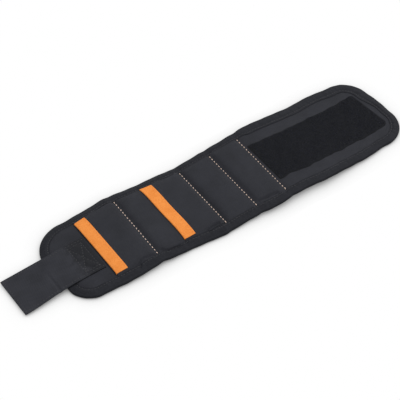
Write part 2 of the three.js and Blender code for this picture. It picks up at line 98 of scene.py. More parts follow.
# Cover and lining
GRID_STEP = 0.8
LAYER_INSET = 5.0  # cover and lining stop inside the binding
RIM_TOP = 2.4
RIM_WIDTH = 2.0  # from the edge to where the cover starts to rise
PADDED_SHOULDER = 4.1
LOOP_SHOULDER = 3.6
COVER_THICKNESS = 0.6
LINING_THICKNESS = 1.0
LINING_BOTTOM = 0.1
SEWN_FOLDS = {2: (0.8, -0.8), 4: (0.6, 0.6), 5: (0.4, -0.1), 6: (-2.0, -2.8)}  # shifts at far and near end
SEAM_GROOVE = 1.4
COVER_SEAM_REACH = (2.2, 3.4)  # before and after a cross seam
PUCKER_DEPTH = 0.22  # wrinkles beside a cross seam
PUCKER_REACH = 4.5
LINING_RISE = 0.7  # where the lining's border lies on the binding
LINING_GROOVE = 0.6
LINING_SEAM_REACH = (4.0, 4.0)
LOOP_CROWN = 0.15  # rise of the loop end's cover from the binding to its middle
NEAR_CREASES = (  # lines along which the cover and the binding are drawn in, by the near edge
    ((-81.0, -35.8), (-90.0, -34.8), (-95.5, -37.2), (-98.5, -41.5)),
    ((-72.5, -34.5), (-69.5, -37.0), (-64.0, -38.4), (-56.0, -38.6)),
    ((-14.0, -36.4), (-20.0, -36.8), (-26.0, -38.5)),
    ((30.0, -36.4), (40.0, -37.6), (48.0, -38.4)),
)
CREASE_DEPTH = 1.6
CREASE_REACH = 1.4
SEAM_END = 10.0  # from the edge to the end of a cross seam
SEAM_BACK_SHARE = 0.94  # of a cross seam's length, under the band

# Padding, swollen by a cloth simulation
CLOTH_STEP = 1.25
CLOTH_UNIT = 0.1  # a millimetre of the simulated sheet
CLOTH_PRESSURE = 1.3
CLOTH_FRAMES = 22
CLOTH_SLACK = 0.3  # height of the waves that the sheet starts with
CLOTH_EASE = 1.5 * CLOTH_STEP
FOAM_LIMIT = 2.4  # the foam under the cover stops it from rising further
STRAP_END_FILL = 0.55  # share of the padding under the strap
POCKET_FILL = 0.85  # least share under a pocket panel

# Binding
BINDING_WIDTH = 8.8
FAR_BINDING_EXTRA = 3.2  # how much wider the binding is along the far side of the loop end
FAR_BINDING_EASE = (12.0, 30.0)  # along and across the band
BINDING_THICKNESS = 0.55
EDGE_HEIGHT = 3.5
BINDING_BULGE = 0.45
BINDING_SEAT = 0.15  # from the cover to the binding's lip
PANEL_LIFT = 0.85  # how much higher the lip lies on a pocket panel
BINDING_GROOVE = 0.6  # along its stitches
BINDING_GROOVE_REACH = 1.3
BINDING_SEAM_REACH = (2.5, 3.4)
BINDING_WANDER = 0.3  # unevenness of its width
GATHER_DEPTH = 0.2
LEAF_STEPS = 18
BINDING_STITCH_INSET = 7.2
UNDER_STITCH = 0.16  # height of the stitches under the band
RUN_STEP = 0.8

# Pockets
POCKETS = {1: 1, 2: 3}  # pocket number: fold line at its mouth
POCKET_THICKNESS = 0.7
POCKET_EDGE = 1.3  # past the seam that closes the pocket
POCKET_CAUGHT = 2.0  # the panel's sides lie this far under the binding
POCKET_SEAT = 0.15  # from the cover to the panel
POCKET_STEP = 0.6
MOUTH_GAPE = 0.25
GAPE_REACH = 9.0
TAPE_WIDTHS = {1: 11.5, 2: 11.7}
TAPE_LIPS = {1: 2.0, 2: 0.3}  # from the fold at the pocket's mouth to the tape's lip
TAPE_REACH = 35.4
TAPE_SLANTS = {1: (2.4, 0.8), 2: (-0.6, 0.9)}  # how far the far corners are drawn in: lip, sewn edge
TAPE_BOW = 0.3
TAPE_ROWS = 90
TAPE_STITCH = 1.4  # from the tape's sewn edge
TAPE_ROUND = 1.3  # round edge at the lip
TAPE_THICKNESS = 0.4
TAPE_TUCK = 5.0  # inside the pocket

# Strap
STRAP_WIDTH = 40.0
STRAP_OFFSET = -3.6
STRAP_CLEARANCE = 3.0  # beside it, where the binding under it lies flat
STRAP_THICKNESS = 1.1
STRAP_CUT = -145.0  # where its sewn and its free piece meet
STRAP_EASE = 3.0
STRAP_SPREAD = 2.8  # how much wider the tip is, on its near side
STRAP_SPREAD_START = 38.0  # along the strap
STRAP_SPREAD_RUN = 42.0
STRAP_TIP_OVERHANG = 1.9
STRAP_STEP = 0.5
STRAP_STITCH = 2.2  # from its edge
STRAP_CREASE = 44.5  # along the strap, where it leaves the pad
STRAP_CREASE_DEPTH = 0.6
STRAP_DENT_REACH = 1.4
BOX_START = 3.5  # the box stitch, along and across the strap
BOX_STOP = 17.0
BOX_HALF = 15.0
BOX_EASE = 2.0
BOX_GROOVE = 0.2
BOX_RUMPLE = 0.45
HOOK_SETBACK = 5.0
HOOK_MARGIN = 1.0
HOOK_BASE = 0.35
HOOK_HEIGHT = 0.55
HOOK_PITCH = 1.5

# Loop patch
LOOP_HALF_WIDTH = 25.0
LOOP_START = 60.6
LOOP_STOP = 187.5
# How far the patch lies towards the far side, by place along the band
LOOP_SHIFTS = {60: -1.2, 74: -1.4, 92: -3.2, 112: -2.2, 132: -1.5, 160: -0.8, 188: 1.7}
LOOP_SLANT = 4.0  # how much sooner the patch stops on its far side
LOOP_BASE = 0.5
LOOP_SEAT = 0.06  # from the cover to the patch
LOOP_STEP = 0.7
LOOP_WANDER = 0.8  # unevenness of its long edges
LOOP_CORNER = 4.0

folds = np.cumsum((PAD_START, *SECTION_LENGTHS))
LAST_SPAN = len(FOLD_JOINTS)
middles = (folds[:-1] + folds[1:]) / 2
cuts = np.array((PAD_START, *middles[1:-1], PAD_END))  # span k lies between cuts k - 1 and k
SPANS = range(1, LAST_SPAN + 1)
loop_seam = folds[FIRST_LOOP_SPAN - 1]  # the last cross seam, where the loop end starts


# Shape of the band


def smooth(t):
    t = np.clip(t, 0, 1)
    return t * t * (3 - 2 * t)


def bell(t):
    return np.exp(-(t**2))


def ripple(t, seed, *lengths):
    """A smooth uneven wave along t, from about -1 to 1, with these wavelengths."""
    phases = np.random.default_rng(seed).uniform(0, 2 * pi, len(lengths))
    waves = [np.sin(2 * pi * t / length + phase) for length, phase in zip(lengths, phases)]
    return sum(waves) / len(lengths)


def softened(line, step, ease):
    """Points of an evenly stepped line, averaged over ease on either side."""
    reach = round(ease / step)
    window = np.hanning(2 * reach + 3)[1:-1]
    window = window / window.sum()
    padded = np.pad(line, ((reach, reach), (0, 0)), mode="reflect", reflect_type="odd")
    return np.stack([np.convolve(column, window, "valid") for column in padded.T], axis=-1)


hinge_at = {joint["name"]: np.array(joint["pos_m"])[[0, 2]] / MM for joint in frame["joints"]}
hinges = np.array([hinge_at[name] for name in FOLD_JOINTS])
first_run = np.sqrt(SECTION_LENGTHS[0] ** 2 - hinges[0, 1] ** 2)
band_start = (hinges[0, 0] - first_run, 0.0)
band_stop = (hinges[-1, 0] + SECTION_LENGTHS[-1], 0.0)
band_line = np.array((band_start, *hinges, band_stop))
WAVE_STEP = 0.25
wave_s = np.arange(PAD_START, PAD_END + WAVE_STEP / 2, WAVE_STEP)
wave = np.stack([np.interp(wave_s, folds, band_line[:, i]) for i in (0, 1)], axis=-1)
wave = softened(wave, WAVE_STEP, WAVE_EASE)
wave_turn = np.gradient(wave, WAVE_STEP, axis=0)
wave_turn = wave_turn / np.linalg.norm(wave_turn, axis=1)[:, None]


def lay(s, y, h):
    """Points in the frame, in metres, of places on the band."""
    s, y, h = np.broadcast_arrays(s, y, h)
    beyond = s - np.clip(s, PAD_START, PAD_END)
    x = np.interp(s, wave_s, wave[:, 0]) - h * np.interp(s, wave_s, wave_turn[:, 1]) + beyond
    z = np.interp(s, wave_s, wave[:, 1]) + h * np.interp(s, wave_s, wave_turn[:, 0])
    return np.stack([x, y, z], axis=-1) * MM


def edge(s, side):
    """Half width of the band on one side. It is a little uneven, and leans in or out towards the ends."""
    uneven = sum(
        amount * bell((s - place) / reach)
        for swell_side, place, reach, amount in EDGE_SWELLS
        if swell_side == side
    )
    lean = sum(
        amount * smooth((s - start) / (stop - start))
        for taper_side, start, stop, amount in EDGE_TAPERS
        if taper_side == side
    )
    drawn_in = SEAM_PULL * sum(bell((s - folds[k]) / SEAM_PULL_REACH) for k in SEWN_FOLDS)
    at_start, at_stop = EVEN_ENDS
    free = smooth((s - PAD_START - at_start) / EVEN_EASE) * smooth((PAD_END - at_stop - s) / EVEN_EASE)
    return HALF_WIDTH + lean + free * (uneven - drawn_in)


def half_width(s, y):
    return np.where(y > 0, edge(s, 1), edge(s, -1))


def on_side(pair, y):
    """The near or the far one of a pair of values, by the side of y."""
    near, far = pair
    return np.where(y > 0, far, near)


def corner_of(end, y):
    """A rounded end on the side of y: its corner radius, the corner's start and how far it is drawn back."""
    radius = on_side(end["radii"], y)
    corner = half_width(end["tip"], y) - radius
    return radius, corner, on_side(end["bows"], y) * smooth(np.abs(y) / end["bow_reach"])


def end_place(end, y, inset):
    """Where the line that lies inset from a rounded end is, at a place across the band."""
    full, corner, back = corner_of(end, y)
    radius = full - inset
    beyond = np.clip(np.abs(y) - corner, 0, radius)
    return end["tip"] - end["side"] * (inset + back + radius - np.sqrt(radius**2 - beyond**2))


def edge_distance(s, y):
    """How far a place lies inside the band's outer edge."""
    distance = half_width(s, y) - np.abs(y)
    for end in ENDS.values():
        radius, corner, back = corner_of(end, y)
        past = end["side"] * (s - end["tip"]) + back + radius
        over = np.abs(y) - corner
        rounded = radius - np.hypot(past, over)
        endwise = end["side"] * (end["tip"] - s) - back
        distance = np.where((past > 0) & (over > 0), rounded, np.minimum(distance, endwise))
    return distance


def binding_width(s, y):
    along, across = FAR_BINDING_EASE
    return BINDING_WIDTH + FAR_BINDING_EXTRA * smooth((s - loop_seam) / along) * smooth((y + 5) / across)


def shoulder(s):
    """Cover height beside the binding: the padded part is thicker than the loop end."""
    return LOOP_SHOULDER + (PADDED_SHOULDER - LOOP_SHOULDER) * smooth((loop_seam + 4 - s) / 6)


def seam_at(k, y):
    """Where the cross seam beside fold k runs: it is sewn by eye, a little aslant."""
    far, near = SEWN_FOLDS[k]
    return folds[k] + near + (far - near) * (y / HALF_WIDTH + 1) / 2


def seam_groove(s, y, reach):
    """1 on a sewn cross seam, falling to 0 within a reach before it and one after it."""
    before, after = reach
    total = 0.0
    for k in SEWN_FOLDS:
        past = s - seam_at(k, y)
        total = total + bell(past / np.where(past > 0, after, before))
    return total


def swollen_cloth():
    """Lifts of the cover on a grid: it is held at the binding and the seams, and swells between them."""
    along = np.arange(PAD_START, loop_seam + 10, CLOTH_STEP)
    across = np.arange(-HALF_WIDTH, HALF_WIDTH + CLOTH_STEP / 2, CLOTH_STEP)
    s, y = np.meshgrid(along, across, indexing="ij")
    slack = CLOTH_SLACK * ripple(s + 0.6 * y, 21, 31, 19) * ripple(y - 0.4 * s, 22, 23, 37)
    start = np.stack([s, y, slack], axis=-1) * CLOTH_UNIT
    sheet = add_mesh("padding", start, faces=quads(*s.shape))
    seams = np.min([np.abs(s - seam_at(k, y)) for k in SEWN_FOLDS], axis=0)
    held = (edge_distance(s, y) < BINDING_WIDTH - 0.8) | (seams < 0.6 * CLOTH_STEP) | (s > loop_seam)
    group = sheet.vertex_groups.new(name="held")
    group.add(np.flatnonzero(held).tolist(), 1.0, "REPLACE")
    cloth = sheet.modifiers.new("cloth", "CLOTH")
    cloth.settings.quality = 6
    cloth.settings.vertex_group_mass = group.name
    cloth.settings.use_pressure = True
    cloth.settings.uniform_pressure_force = CLOTH_PRESSURE
    cloth.settings.shrink_min = -0.01
    cloth.settings.effector_weights.gravity = 0
    cloth.collision_settings.use_collision = False
    cloth.point_cache.frame_end = CLOTH_FRAMES
    for step in range(1, CLOTH_FRAMES + 1):
        scene.frame_set(step)
    settled = sheet.evaluated_get(bpy.context.evaluated_depsgraph_get()).data
    points = np.empty(start.size)
    settled.vertices.foreach_get("co", points)
    scene.frame_set(1)
    bpy.data.meshes.remove(sheet.data)
    lift = points.reshape(-1, 3)[:, 2].reshape(s.shape) / CLOTH_UNIT
    lift = np.where(held, 0, FOAM_LIMIT * np.tanh(lift / FOAM_LIMIT))
    lift = softened(softened(lift, CLOTH_STEP, CLOTH_EASE).T, CLOTH_STEP, CLOTH_EASE).T
    return along, across, lift


def between(grid, s, y):
    """Values of a grid at places between its points."""
    along, across, values = grid
    i = np.clip((s - along[0]) / CLOTH_STEP, 0, len(along) - 1.001)
    j = np.clip((y - across[0]) / CLOTH_STEP, 0, len(across) - 1.001)
    row, column = i.astype(int), j.astype(int)
    i, j = i - row, j - column
    lower = values[row, column] * (1 - j) + values[row, column + 1] * j
    upper = values[row + 1, column] * (1 - j) + values[row + 1, column + 1] * j
    return lower * (1 - i) + upper * i


def path_distance(s, y, path):
    """How far places are from a line through the points of a path."""
    nearest = np.inf
    for (s0, y0), (s1, y1) in zip(path, path[1:]):
        run = s1 - s0
        rise = y1 - y0
        share = np.clip(((s - s0) * run + (y - y0) * rise) / (run**2 + rise**2), 0, 1)
        nearest = np.minimum(nearest, np.hypot(s - s0 - share * run, y - y0 - share * rise))
    return nearest


def near_creases(s, y):
    """Depth of the creases by the near edge."""
    return CREASE_DEPTH * sum(bell(path_distance(s, y, path) / CREASE_REACH) for path in NEAR_CREASES)


def cover_fill(s):
    """Share of the padding's height along the band."""
    return STRAP_END_FILL + (1 - STRAP_END_FILL) * smooth((s - folds[1]) / 6)


def puckers(s, y):
    """Small wrinkles that the cross seams draw into the cover."""
    total = np.zeros(np.broadcast(s, y).shape)
    for k in SEWN_FOLDS:
        past = s - seam_at(k, y)
        fade = np.exp(-np.abs(past) / PUCKER_REACH)
        total = total + PUCKER_DEPTH * fade * ripple(y + 0.3 * past, k, 5.3, 8.1, 13.7)
    return total


def cover_top(s, y, fill=None):
    """Height of the cover, with its own share of the padding or a given one."""
    s, y = np.broadcast_arrays(s, y)
    distance = edge_distance(s, y)
    bound = binding_width(s, y)
    climb = np.clip((distance - RIM_WIDTH) / (bound - RIM_WIDTH), 0, 1)
    base = RIM_TOP + (shoulder(s) - RIM_TOP) * climb
    share = cover_fill(s) if fill is None else fill
    inside = smooth((distance - bound) / 4)
    crown = LOOP_CROWN * smooth((distance - bound + 1) / 14) * smooth((s - loop_seam - 2) / 8)
    drawn = SEAM_GROOVE * climb * seam_groove(s, y, COVER_SEAM_REACH) + near_creases(s, y)
    return base + crown + share * between(swell, s, y) + inside * puckers(s, y) - drawn


def lining_bottom(s, y):
    """Height of the lining's underside."""
    distance = edge_distance(s, y)
    bound = binding_width(s, y)
    over_binding = LINING_RISE * smooth((bound + 0.8 - distance) / 0.8)
    drawn_up = LINING_GROOVE * seam_groove(s, y, LINING_SEAM_REACH) * smooth((distance - bound) / 8)
    return LINING_BOTTOM + over_binding + drawn_up


# Mesh making


def add_object(name, data):
    """A new object in the scene."""
    made = bpy.data.objects.new(name, data)
    scene.collection.objects.link(made)
    return made


def add_mesh(name, points, edges=(), faces=()):
    """A new object from its points, edges and faces."""
    mesh = bpy.data.meshes.new(name)
    mesh.from_pydata(np.asarray(points).reshape(-1, 3).tolist(), edges, [list(face) for face in faces])
    return add_object(name, mesh)


def quads(rows, columns, wrap=False):
    """Faces between points that are numbered row by row."""
    index = np.arange(rows * columns).reshape(rows, columns)
    if wrap:
        index = np.concatenate([index, index[:, :1]], axis=1)
    corners = (index[:-1, :-1], index[1:, :-1], index[1:, 1:], index[:-1, 1:])
    return np.stack(corners, axis=-1).reshape(-1, 4)


def piece(name, points, faces, cloth, material):
    """An object from points in metres, with its cloth laid out flat in millimetres as its UV map."""
    made = add_mesh(name, points, faces=faces)
    mesh = made.data
    shape = bmesh.new()
    shape.from_mesh(mesh)
    bmesh.ops.recalc_face_normals(shape, faces=shape.faces)
    shape.to_mesh(mesh)
    shape.free()
    corner_points = np.empty(len(mesh.loops), dtype=np.int32)
    mesh.loops.foreach_get("vertex_index", corner_points)
    layout = np.asarray(cloth, dtype=np.float32).reshape(-1, 2) * MM
    mesh.uv_layers.new(name="cloth").data.foreach_set("uv", layout[corner_points].ravel())
    mesh.polygons.foreach_set("use_smooth", [True] * len(mesh.polygons))
    mesh.set_sharp_from_angle(angle=radians(50))
    mesh.materials.append(material)
    return made


def layer(name, s, y, low, high, material):
    """A closed sheet between two heights, over a grid of places on the band."""
    count = s.size
    points = np.concatenate([lay(s, y, high).reshape(-1, 3), lay(s, y, low).reshape(-1, 3)])
    index = np.arange(count).reshape(s.shape)
    rim = np.concatenate([index[0, :-1], index[:-1, -1], index[-1, :0:-1], index[:0:-1, 0]])
    after = np.roll(rim, -1)
    walls = np.stack([rim, after, after + count, rim + count], axis=-1)
    top = quads(*s.shape)
    cloth = np.tile(np.stack([s, y], axis=-1).reshape(-1, 2), (2, 1))
    return piece(name, points, np.concatenate([top, top + count, walls]), cloth, material)


def swept(name, rings, cloth, material):
    """A closed mesh through rings of points in metres, capped at both ends."""
    count, around = rings.shape[:2]
    faces = quads(count, around, wrap=True).tolist()
    faces.append(range(around))
    faces.append(range(around * (count - 1), around * count))
    return piece(name, rings, faces, cloth, material)


def girth(across, heights):
    """Lengths along a ring's outline, from its first point."""
    return np.cumsum(np.hypot(np.diff(across, prepend=across[0]), np.diff(heights, prepend=heights[0])))


def unit_headings(line):
    """The direction of a line at each of its points."""
    heading = np.gradient(line, axis=0)
    return heading / np.linalg.norm(heading, axis=1)[:, None]


def evenly(line, step):
    """A line's points, spaced evenly, and the lengths along it up to them."""
    length = np.concatenate([[0], np.cumsum(np.linalg.norm(np.diff(line, axis=0), axis=1))])
    places = np.linspace(0, length[-1], round(length[-1] / step) + 1)
    return np.stack([np.interp(places, length, line[:, i]) for i in range(line.shape[1])], axis=-1), places


def joined(objects, name):
    """One object out of several."""
    first, *others = objects
    shape = bmesh.new()
    for other in objects:
        shape.from_mesh(other.data)
    shape.to_mesh(first.data)
    shape.free()
    for other in others:
        bpy.data.objects.remove(other)
    first.name = name
    first.data.name = name
    return first


def span_grid(k, inset):
    """Places on span k of the band, inside its edge by inset."""
    rows = round(2 * (HALF_WIDTH - inset) / GRID_STEP)
    share = np.linspace(-1, 1, rows + 1)[:, None]
    start = np.full_like(share, cuts[k - 1])
    stop = np.full_like(share, cuts[k])
    if k in ENDS:
        rounded = end_place(ENDS[k], share * (half_width(ENDS[k]["tip"], share) - inset), inset)
        start, stop = (rounded, stop) if k == 1 else (start, rounded)
    columns = round((cuts[k] - cuts[k - 1]) / GRID_STEP)
    s = start + (stop - start) * np.linspace(0, 1, columns + 1)[None, :]
    return s, share * (half_width(s, share) - inset)


def bend(made, k):
    """Bakes the piece's transform into its mesh. The places before and after fold k are worked out but not
    used.
    """
    before, after = BEND_REACHES[k - 1]
    start, end = lay(np.array((folds[k] - before, folds[k] + after)), 0, 0)
    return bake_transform(made)


# Node trees


class Wire:
    """An output of a node. Arithmetic on it adds Math nodes to its tree."""

    def __init__(self, tree, socket):
        self.tree = tree
        self.socket = socket

    def other(self, name):
        return Wire(self.tree, self.socket.node.outputs[name])

    def math(self, operation, *values):
        return self.tree.math(operation, self, *values)

    def clamp(self):
        return self.math("MAXIMUM", 0).math("MINIMUM", 1)

    def __add__(self, value):
        return self.math("ADD", value)

    def __sub__(self, value):
        return self.math("SUBTRACT", value)

    def __rsub__(self, value):
        return self.tree.math("SUBTRACT", value, self)

    def __mul__(self, value):
        return self.math("MULTIPLY", value)

    def __abs__(self):
        return self.math("ABSOLUTE")

    __radd__ = __add__
    __rmul__ = __mul__


class Tree:
    """A node tree that grows by its method node and by arithmetic on the wires."""

    def __init__(self, tree):
        self.tree = tree

    def node(self, kind, inputs=None, output=0, **settings):
        made = self.tree.nodes.new(kind)
        for name, value in settings.items():
            setattr(made, name, value)
        for key, value in (inputs or {}).items():
            if isinstance(value, Wire):
                self.tree.links.new(value.socket, made.inputs[key])
            else:
                made.inputs[key].default_value = value
        return Wire(self, made.outputs[output]) if made.outputs else made

    def math(self, operation, *values):
        return self.node("ShaderNodeMath", dict(enumerate(values)), operation=operation)


class Finish(Tree):
    """A material on one Principled shader."""

    def __init__(self, name):
        self.material = bpy.data.materials.new(name)
        self.material.use_nodes = True
        super().__init__(self.material.node_tree)
        self.shader = self.tree.nodes["Principled BSDF"]

    def put(self, tone, dark, light, sockets):
        """The finished material, with a colour between two and these other inputs of its shader."""
        colour = self.mix(tone, shade(*dark), shade(*light))
        for name, value in {"Base Color": colour, **sockets}.items():
            if isinstance(value, Wire):
                self.tree.links.new(value.socket, self.shader.inputs[name])
            else:
                self.shader.inputs[name].default_value = value
        return self.material

    def cloth(self):
        """Millimetres along and across the piece's own cloth."""
        place = self.node("ShaderNodeUVMap", uv_map="cloth")
        along = self.node("ShaderNodeSeparateXYZ", {0: place})
        return along * (1 / MM), along.other("Y") * (1 / MM)

    def noise(self, size, detail=2.0):
        """Uneven values from 0 to 1 with patches of about this many millimetres."""
        place = self.node("ShaderNodeTexCoord", None, "Object")
        inputs = {"Vector": place, "Scale": 1 / (size * MM), "Detail": detail}
        return self.node("ShaderNodeTexNoise", inputs)

    def mix(self, share, first, second):
        return self.node("ShaderNodeMix", {0: share, 6: first, 7: second}, 2, data_type="RGBA")

    def bump(self, height, depth, strength=1.0):
        inputs = {"Height": height, "Distance": depth * MM, "Strength": strength}
        return self.node("ShaderNodeBump", inputs)

    def weave(self, along, across, pitch):
        """A plain weave: the height of its threads, and 1 where the lengthwise thread is on top."""
        warp = (across * (pi / pitch)).math("SINE")
        weft = (along * (pi / pitch)).math("SINE")
        over = (warp * weft * 3 + 0.5).clamp()
        height = over * abs(warp) + (1 - over) * abs(weft)
        return height, over


def shade(red, green, blue):
    """A colour from its 8-bit screen values."""
    return tuple(((value / 255 + 0.055) / 1.055) ** 2.4 for value in (red, green, blue)) + (1.0,)


# Finishes

WEAVE_PITCH = 0.75
WEBBING_PITCH = 0.95
RIB_PITCH = 0.62
MESH_PITCH = 2.6


def woven_finish(name, dark, light, pitch, painted_shade_span=None):
    """Coarse black cloth of filament yarn, with a faint bloom where it is rubbed. Over a given span from its
    sewn end, painted shade darkens it in blotches.
    """
    look = Finish(name)
    along, across = look.cloth()
    height, over = look.weave(along, across, pitch)
    rubbed = look.noise(14, 4)
    fibre = look.noise(0.35, 2)
    tone = (over * 0.35 + height * 0.35 + (rubbed - 0.5) * 0.9 + (fibre - 0.5) * 0.5 + 0.15).clamp()
    if painted_shade_span:
        start, stop = painted_shade_span
        # Painted shade: towards the sewn end the cloth is pulled to its dark tone in noisy blotches, standing
        # in for the shade of the box stitch's dents.
        patch = look.noise(7, 2)
        tone = tone * ((along - start) * (1 / (stop - start)) + (patch - 0.5) * 2.5).clamp()
    surface = {
        "Roughness": 0.86 - 0.12 * height + 0.1 * (fibre - 0.5),
        "Normal": look.bump(height + 0.3 * fibre, 0.12, 0.7),
        "Sheen Weight": 0.03,
        "Sheen Roughness": 0.5,
        "Specular IOR Level": 0.15,
    }
    return look.put(tone, dark, light, surface)


def ribbed_finish(name, dark, light, pitch, gloss):
    """Narrow woven tape with fine ribs that lean a little."""
    look = Finish(name)
    along, across = look.cloth()
    rib = abs(((along + 0.35 * across) * (pi / pitch)).math("SINE"))
    pick = abs((across * (pi / (0.6 * pitch))).math("SINE"))
    height = rib * 0.75 + rib * pick * 0.25
    patch = look.noise(9, 3)
    speck = look.noise(0.9, 1)
    tone = (height * 0.5 + (patch - 0.5) * 0.7 + (speck - 0.5) * 0.9 + 0.25).clamp()
    surface = {
        "Roughness": 0.8 - 0.15 * height,
        "Normal": look.bump(height, 0.1, 0.7),
        "Sheen Weight": 0.2 * gloss,
        "Sheen Roughness": 0.4,
        "Specular IOR Level": gloss,
    }
    return look.put(tone, dark, light, surface)


def lining_finish():
    """Spacer mesh: rows of small round openings in a black knit."""
    look = Finish("air_mesh")
    along, across = look.cloth()
    column = along * (pi / MESH_PITCH)
    row = across * (pi / (MESH_PITCH * 0.866))
    first = column.math("COSINE") * row.math("COSINE")
    second = column.math("SINE") * row.math("SINE")
    opening = (first.math("POWER", 2) + second.math("POWER", 2)).math("POWER", 2)
    knit = look.noise(0.4, 2)
    height = 1 - opening + 0.25 * knit
    tone = (height * 0.8 + (knit - 0.5) * 0.4).clamp()
    surface = {
        "Roughness": 0.85 + 0.1 * knit,
        "Normal": look.bump(height, 0.5, 0.9),
        "Sheen Weight": 0.04,
        "Specular IOR Level": 0.15,
    }
    return look.put(tone, (10, 10, 11), (44, 45, 48), surface)


def pile_finish(name, dark, light):
    """Brushed loops that catch a little light at their tips."""
    look = Finish(name)
    clump = look.noise(5, 3)
    strand = look.noise(0.5, 1)
    tone = (clump * 0.7 + strand * 0.5 - 0.1).clamp()
    surface = {
        "Roughness": 0.9 + 0.08 * strand,
        "Sheen Weight": 0.04,
        "Specular IOR Level": 0.12,
    }
    return look.put(tone, dark, light, surface)


def thread_finish(name, dark, light):
    """Twisted sewing thread."""
    look = Finish(name)
    ply = look.noise(0.3, 1)
    surface = {
        "Roughness": 0.55 + 0.2 * ply,
        "Normal": look.bump(ply, 0.05, 0.6),
        "Sheen Weight": 0.2,
    }
    return look.put(ply, dark, light, surface)


def plain_finish(name, grain, dark, light, roughness, metallic):
    """A moulded or plated surface with a faint grain."""
    look = Finish(name)
    haze = look.noise(*grain)
    return look.put(haze, dark, light, {"Metallic": metallic, "Roughness": roughness + 0.2 * haze})


cover_cloth = woven_finish("cover_cloth", (24, 25, 29), (44, 45, 51), WEAVE_PITCH)
# The webbing's first 12 to 22 mm along, at its sewn end, carry painted shade.
strap_cloth = woven_finish("strap_webbing", (24, 25, 29), (49, 50, 56), WEBBING_PITCH, (12, 22))
binding_cloth = ribbed_finish("binding_tape", (19, 20, 24), (38, 39, 44), RIB_PITCH, 0.1)
mouth_cloth = ribbed_finish("orange_tape", (208, 114, 38), (240, 152, 74), RIB_PITCH, 0.15)
lining_cloth = lining_finish()
loop_cloth = pile_finish("loop_backing", (16, 17, 19), (28, 29, 32))
loop_pile = pile_finish("loop_pile", (27, 28, 36), (50, 52, 64))
seam_thread = thread_finish("orange_thread", (226, 194, 172), (250, 226, 210))
tape_thread = thread_finish("tape_thread", (196, 104, 36), (228, 140, 66))
black_thread = thread_finish("black_thread", (17, 17, 20), (35, 35, 39))
hook_plastic = plain_finish("hook_plastic", (1.2, 2), (18, 18, 20), (34, 34, 37), 0.45, 0.0)
nickel_plate = plain_finish("nickel_plate", (0.8, 3), (150, 150, 152), (188, 188, 190), 0.2, 1.0)


# Sewing and pile, grown by Geometry Nodes


class Grower(Tree):
    """A Geometry Nodes tree with named inputs, that ends in one plain mesh of one material."""

    def __init__(self, name, sizes):
        super().__init__(bpy.data.node_groups.new(name, "GeometryNodeTree"))
        sockets = self.tree.interface
        sockets.new_socket("Geometry", in_out="INPUT", socket_type="NodeSocketGeometry")
        sockets.new_socket("Geometry", in_out="OUTPUT", socket_type="NodeSocketGeometry")
        for size in sizes:
            sockets.new_socket(size, in_out="INPUT", socket_type="NodeSocketFloat")
        sockets.new_socket("Seed", in_out="INPUT", socket_type="NodeSocketInt")
        sockets.new_socket("Finish", in_out="INPUT", socket_type="NodeSocketMaterial")
        self.given = self.node("NodeGroupInput")

    def vector(self, x, y, z):
        return self.node("ShaderNodeCombineXYZ", {0: x, 1: y, 2: z})

    def strand(self, start, middle, end, radius, sides, steps):
        """A bent strand from one point to another, pulled towards a third."""
        places = {"Start": start, "Middle": middle, "End": end, "Resolution": steps}
        line = self.node("GeometryNodeCurveQuadraticBezier", places)
        ring = self.node("GeometryNodeCurvePrimitiveCircle", {"Resolution": sides, "Radius": radius})
        tube = {"Curve": line, "Profile Curve": ring, "Fill Caps": True}
        body = self.node("GeometryNodeCurveToMesh", tube)
        return self.node("GeometryNodeSetShadeSmooth", {"Geometry": body})

    def strewn(self, low, high):
        """A random vector between two for every point."""
        limits = {0: low, 1: high, "Seed": self.given.other("Seed")}
        return self.node("FunctionNodeRandomValue", limits, data_type="FLOAT_VECTOR")

    def plant(self, points, shape, rotation, scale):
        """A copy of the shape on every point, realized and finished."""
        inputs = {"Points": points, "Instance": shape, "Rotation": rotation, "Scale": scale}
        copies = self.node("GeometryNodeInstanceOnPoints", inputs)
        real = self.node("GeometryNodeRealizeInstances", {"Geometry": copies})
        finished = {"Geometry": real, "Material": self.given.other("Finish")}
        last = self.node("GeometryNodeSetMaterial", finished)
        self.node("NodeGroupOutput", {0: last})

    def grow(self, base, sizes, finish, seed=0):
        """The mesh that the tree makes on a base object, as an object in its place."""
        modifier = base.modifiers.new("grow", "NODES")
        modifier.node_group = self.tree
        values = {**sizes, "Finish": finish, "Seed": seed}
        for socket in self.tree.interface.items_tree:
            if socket.in_out == "INPUT" and socket.name in values:
                modifier[socket.identifier] = values[socket.name]
        bpy.context.view_layer.update()
        settled = base.evaluated_get(bpy.context.evaluated_depsgraph_get())
        mesh = bpy.data.meshes.new_from_object(settled)
        name = base.name
        bpy.data.meshes.remove(base.data)
        mesh.name = name
        return add_object(name, mesh)


def stitch_tree():
    """Stitches along lines of edges. Each line's attribute up points out of the cloth."""
    tree = Grower("stitch_row", ("Spacing", "Length", "Radius"))
    given = tree.given
    line = tree.node("GeometryNodeMeshToCurve", {"Mesh": given})
    spaced = {"Curve": line, "Length": given.other("Spacing")}
    row = tree.node("GeometryNodeResampleCurve", spaced, mode="LENGTH")
    half = given.other("Length") * 0.5
    radius = given.other("Radius")
    sunk = radius * -2.2
    start = tree.vector(half * -1, 0.0, sunk)
    middle = tree.vector(0.0, 0.0, radius * 3.0)
    shape = tree.strand(start, middle, tree.vector(half, 0.0, sunk), radius, 6, 6)
    tangent = tree.node("GeometryNodeInputTangent")
    up = tree.node("GeometryNodeInputNamedAttribute", {"Name": "up"}, data_type="FLOAT_VECTOR")
    turn = tree.node("FunctionNodeAlignRotationToVector", {"Vector": tangent}, axis="X")
    upright = {"Rotation": turn, "Vector": up}
    turn = tree.node("FunctionNodeAlignRotationToVector", upright, axis="Z", pivot_axis="X")
    tree.plant(row, shape, turn, (1.0, 1.0, 1.0))
    return tree


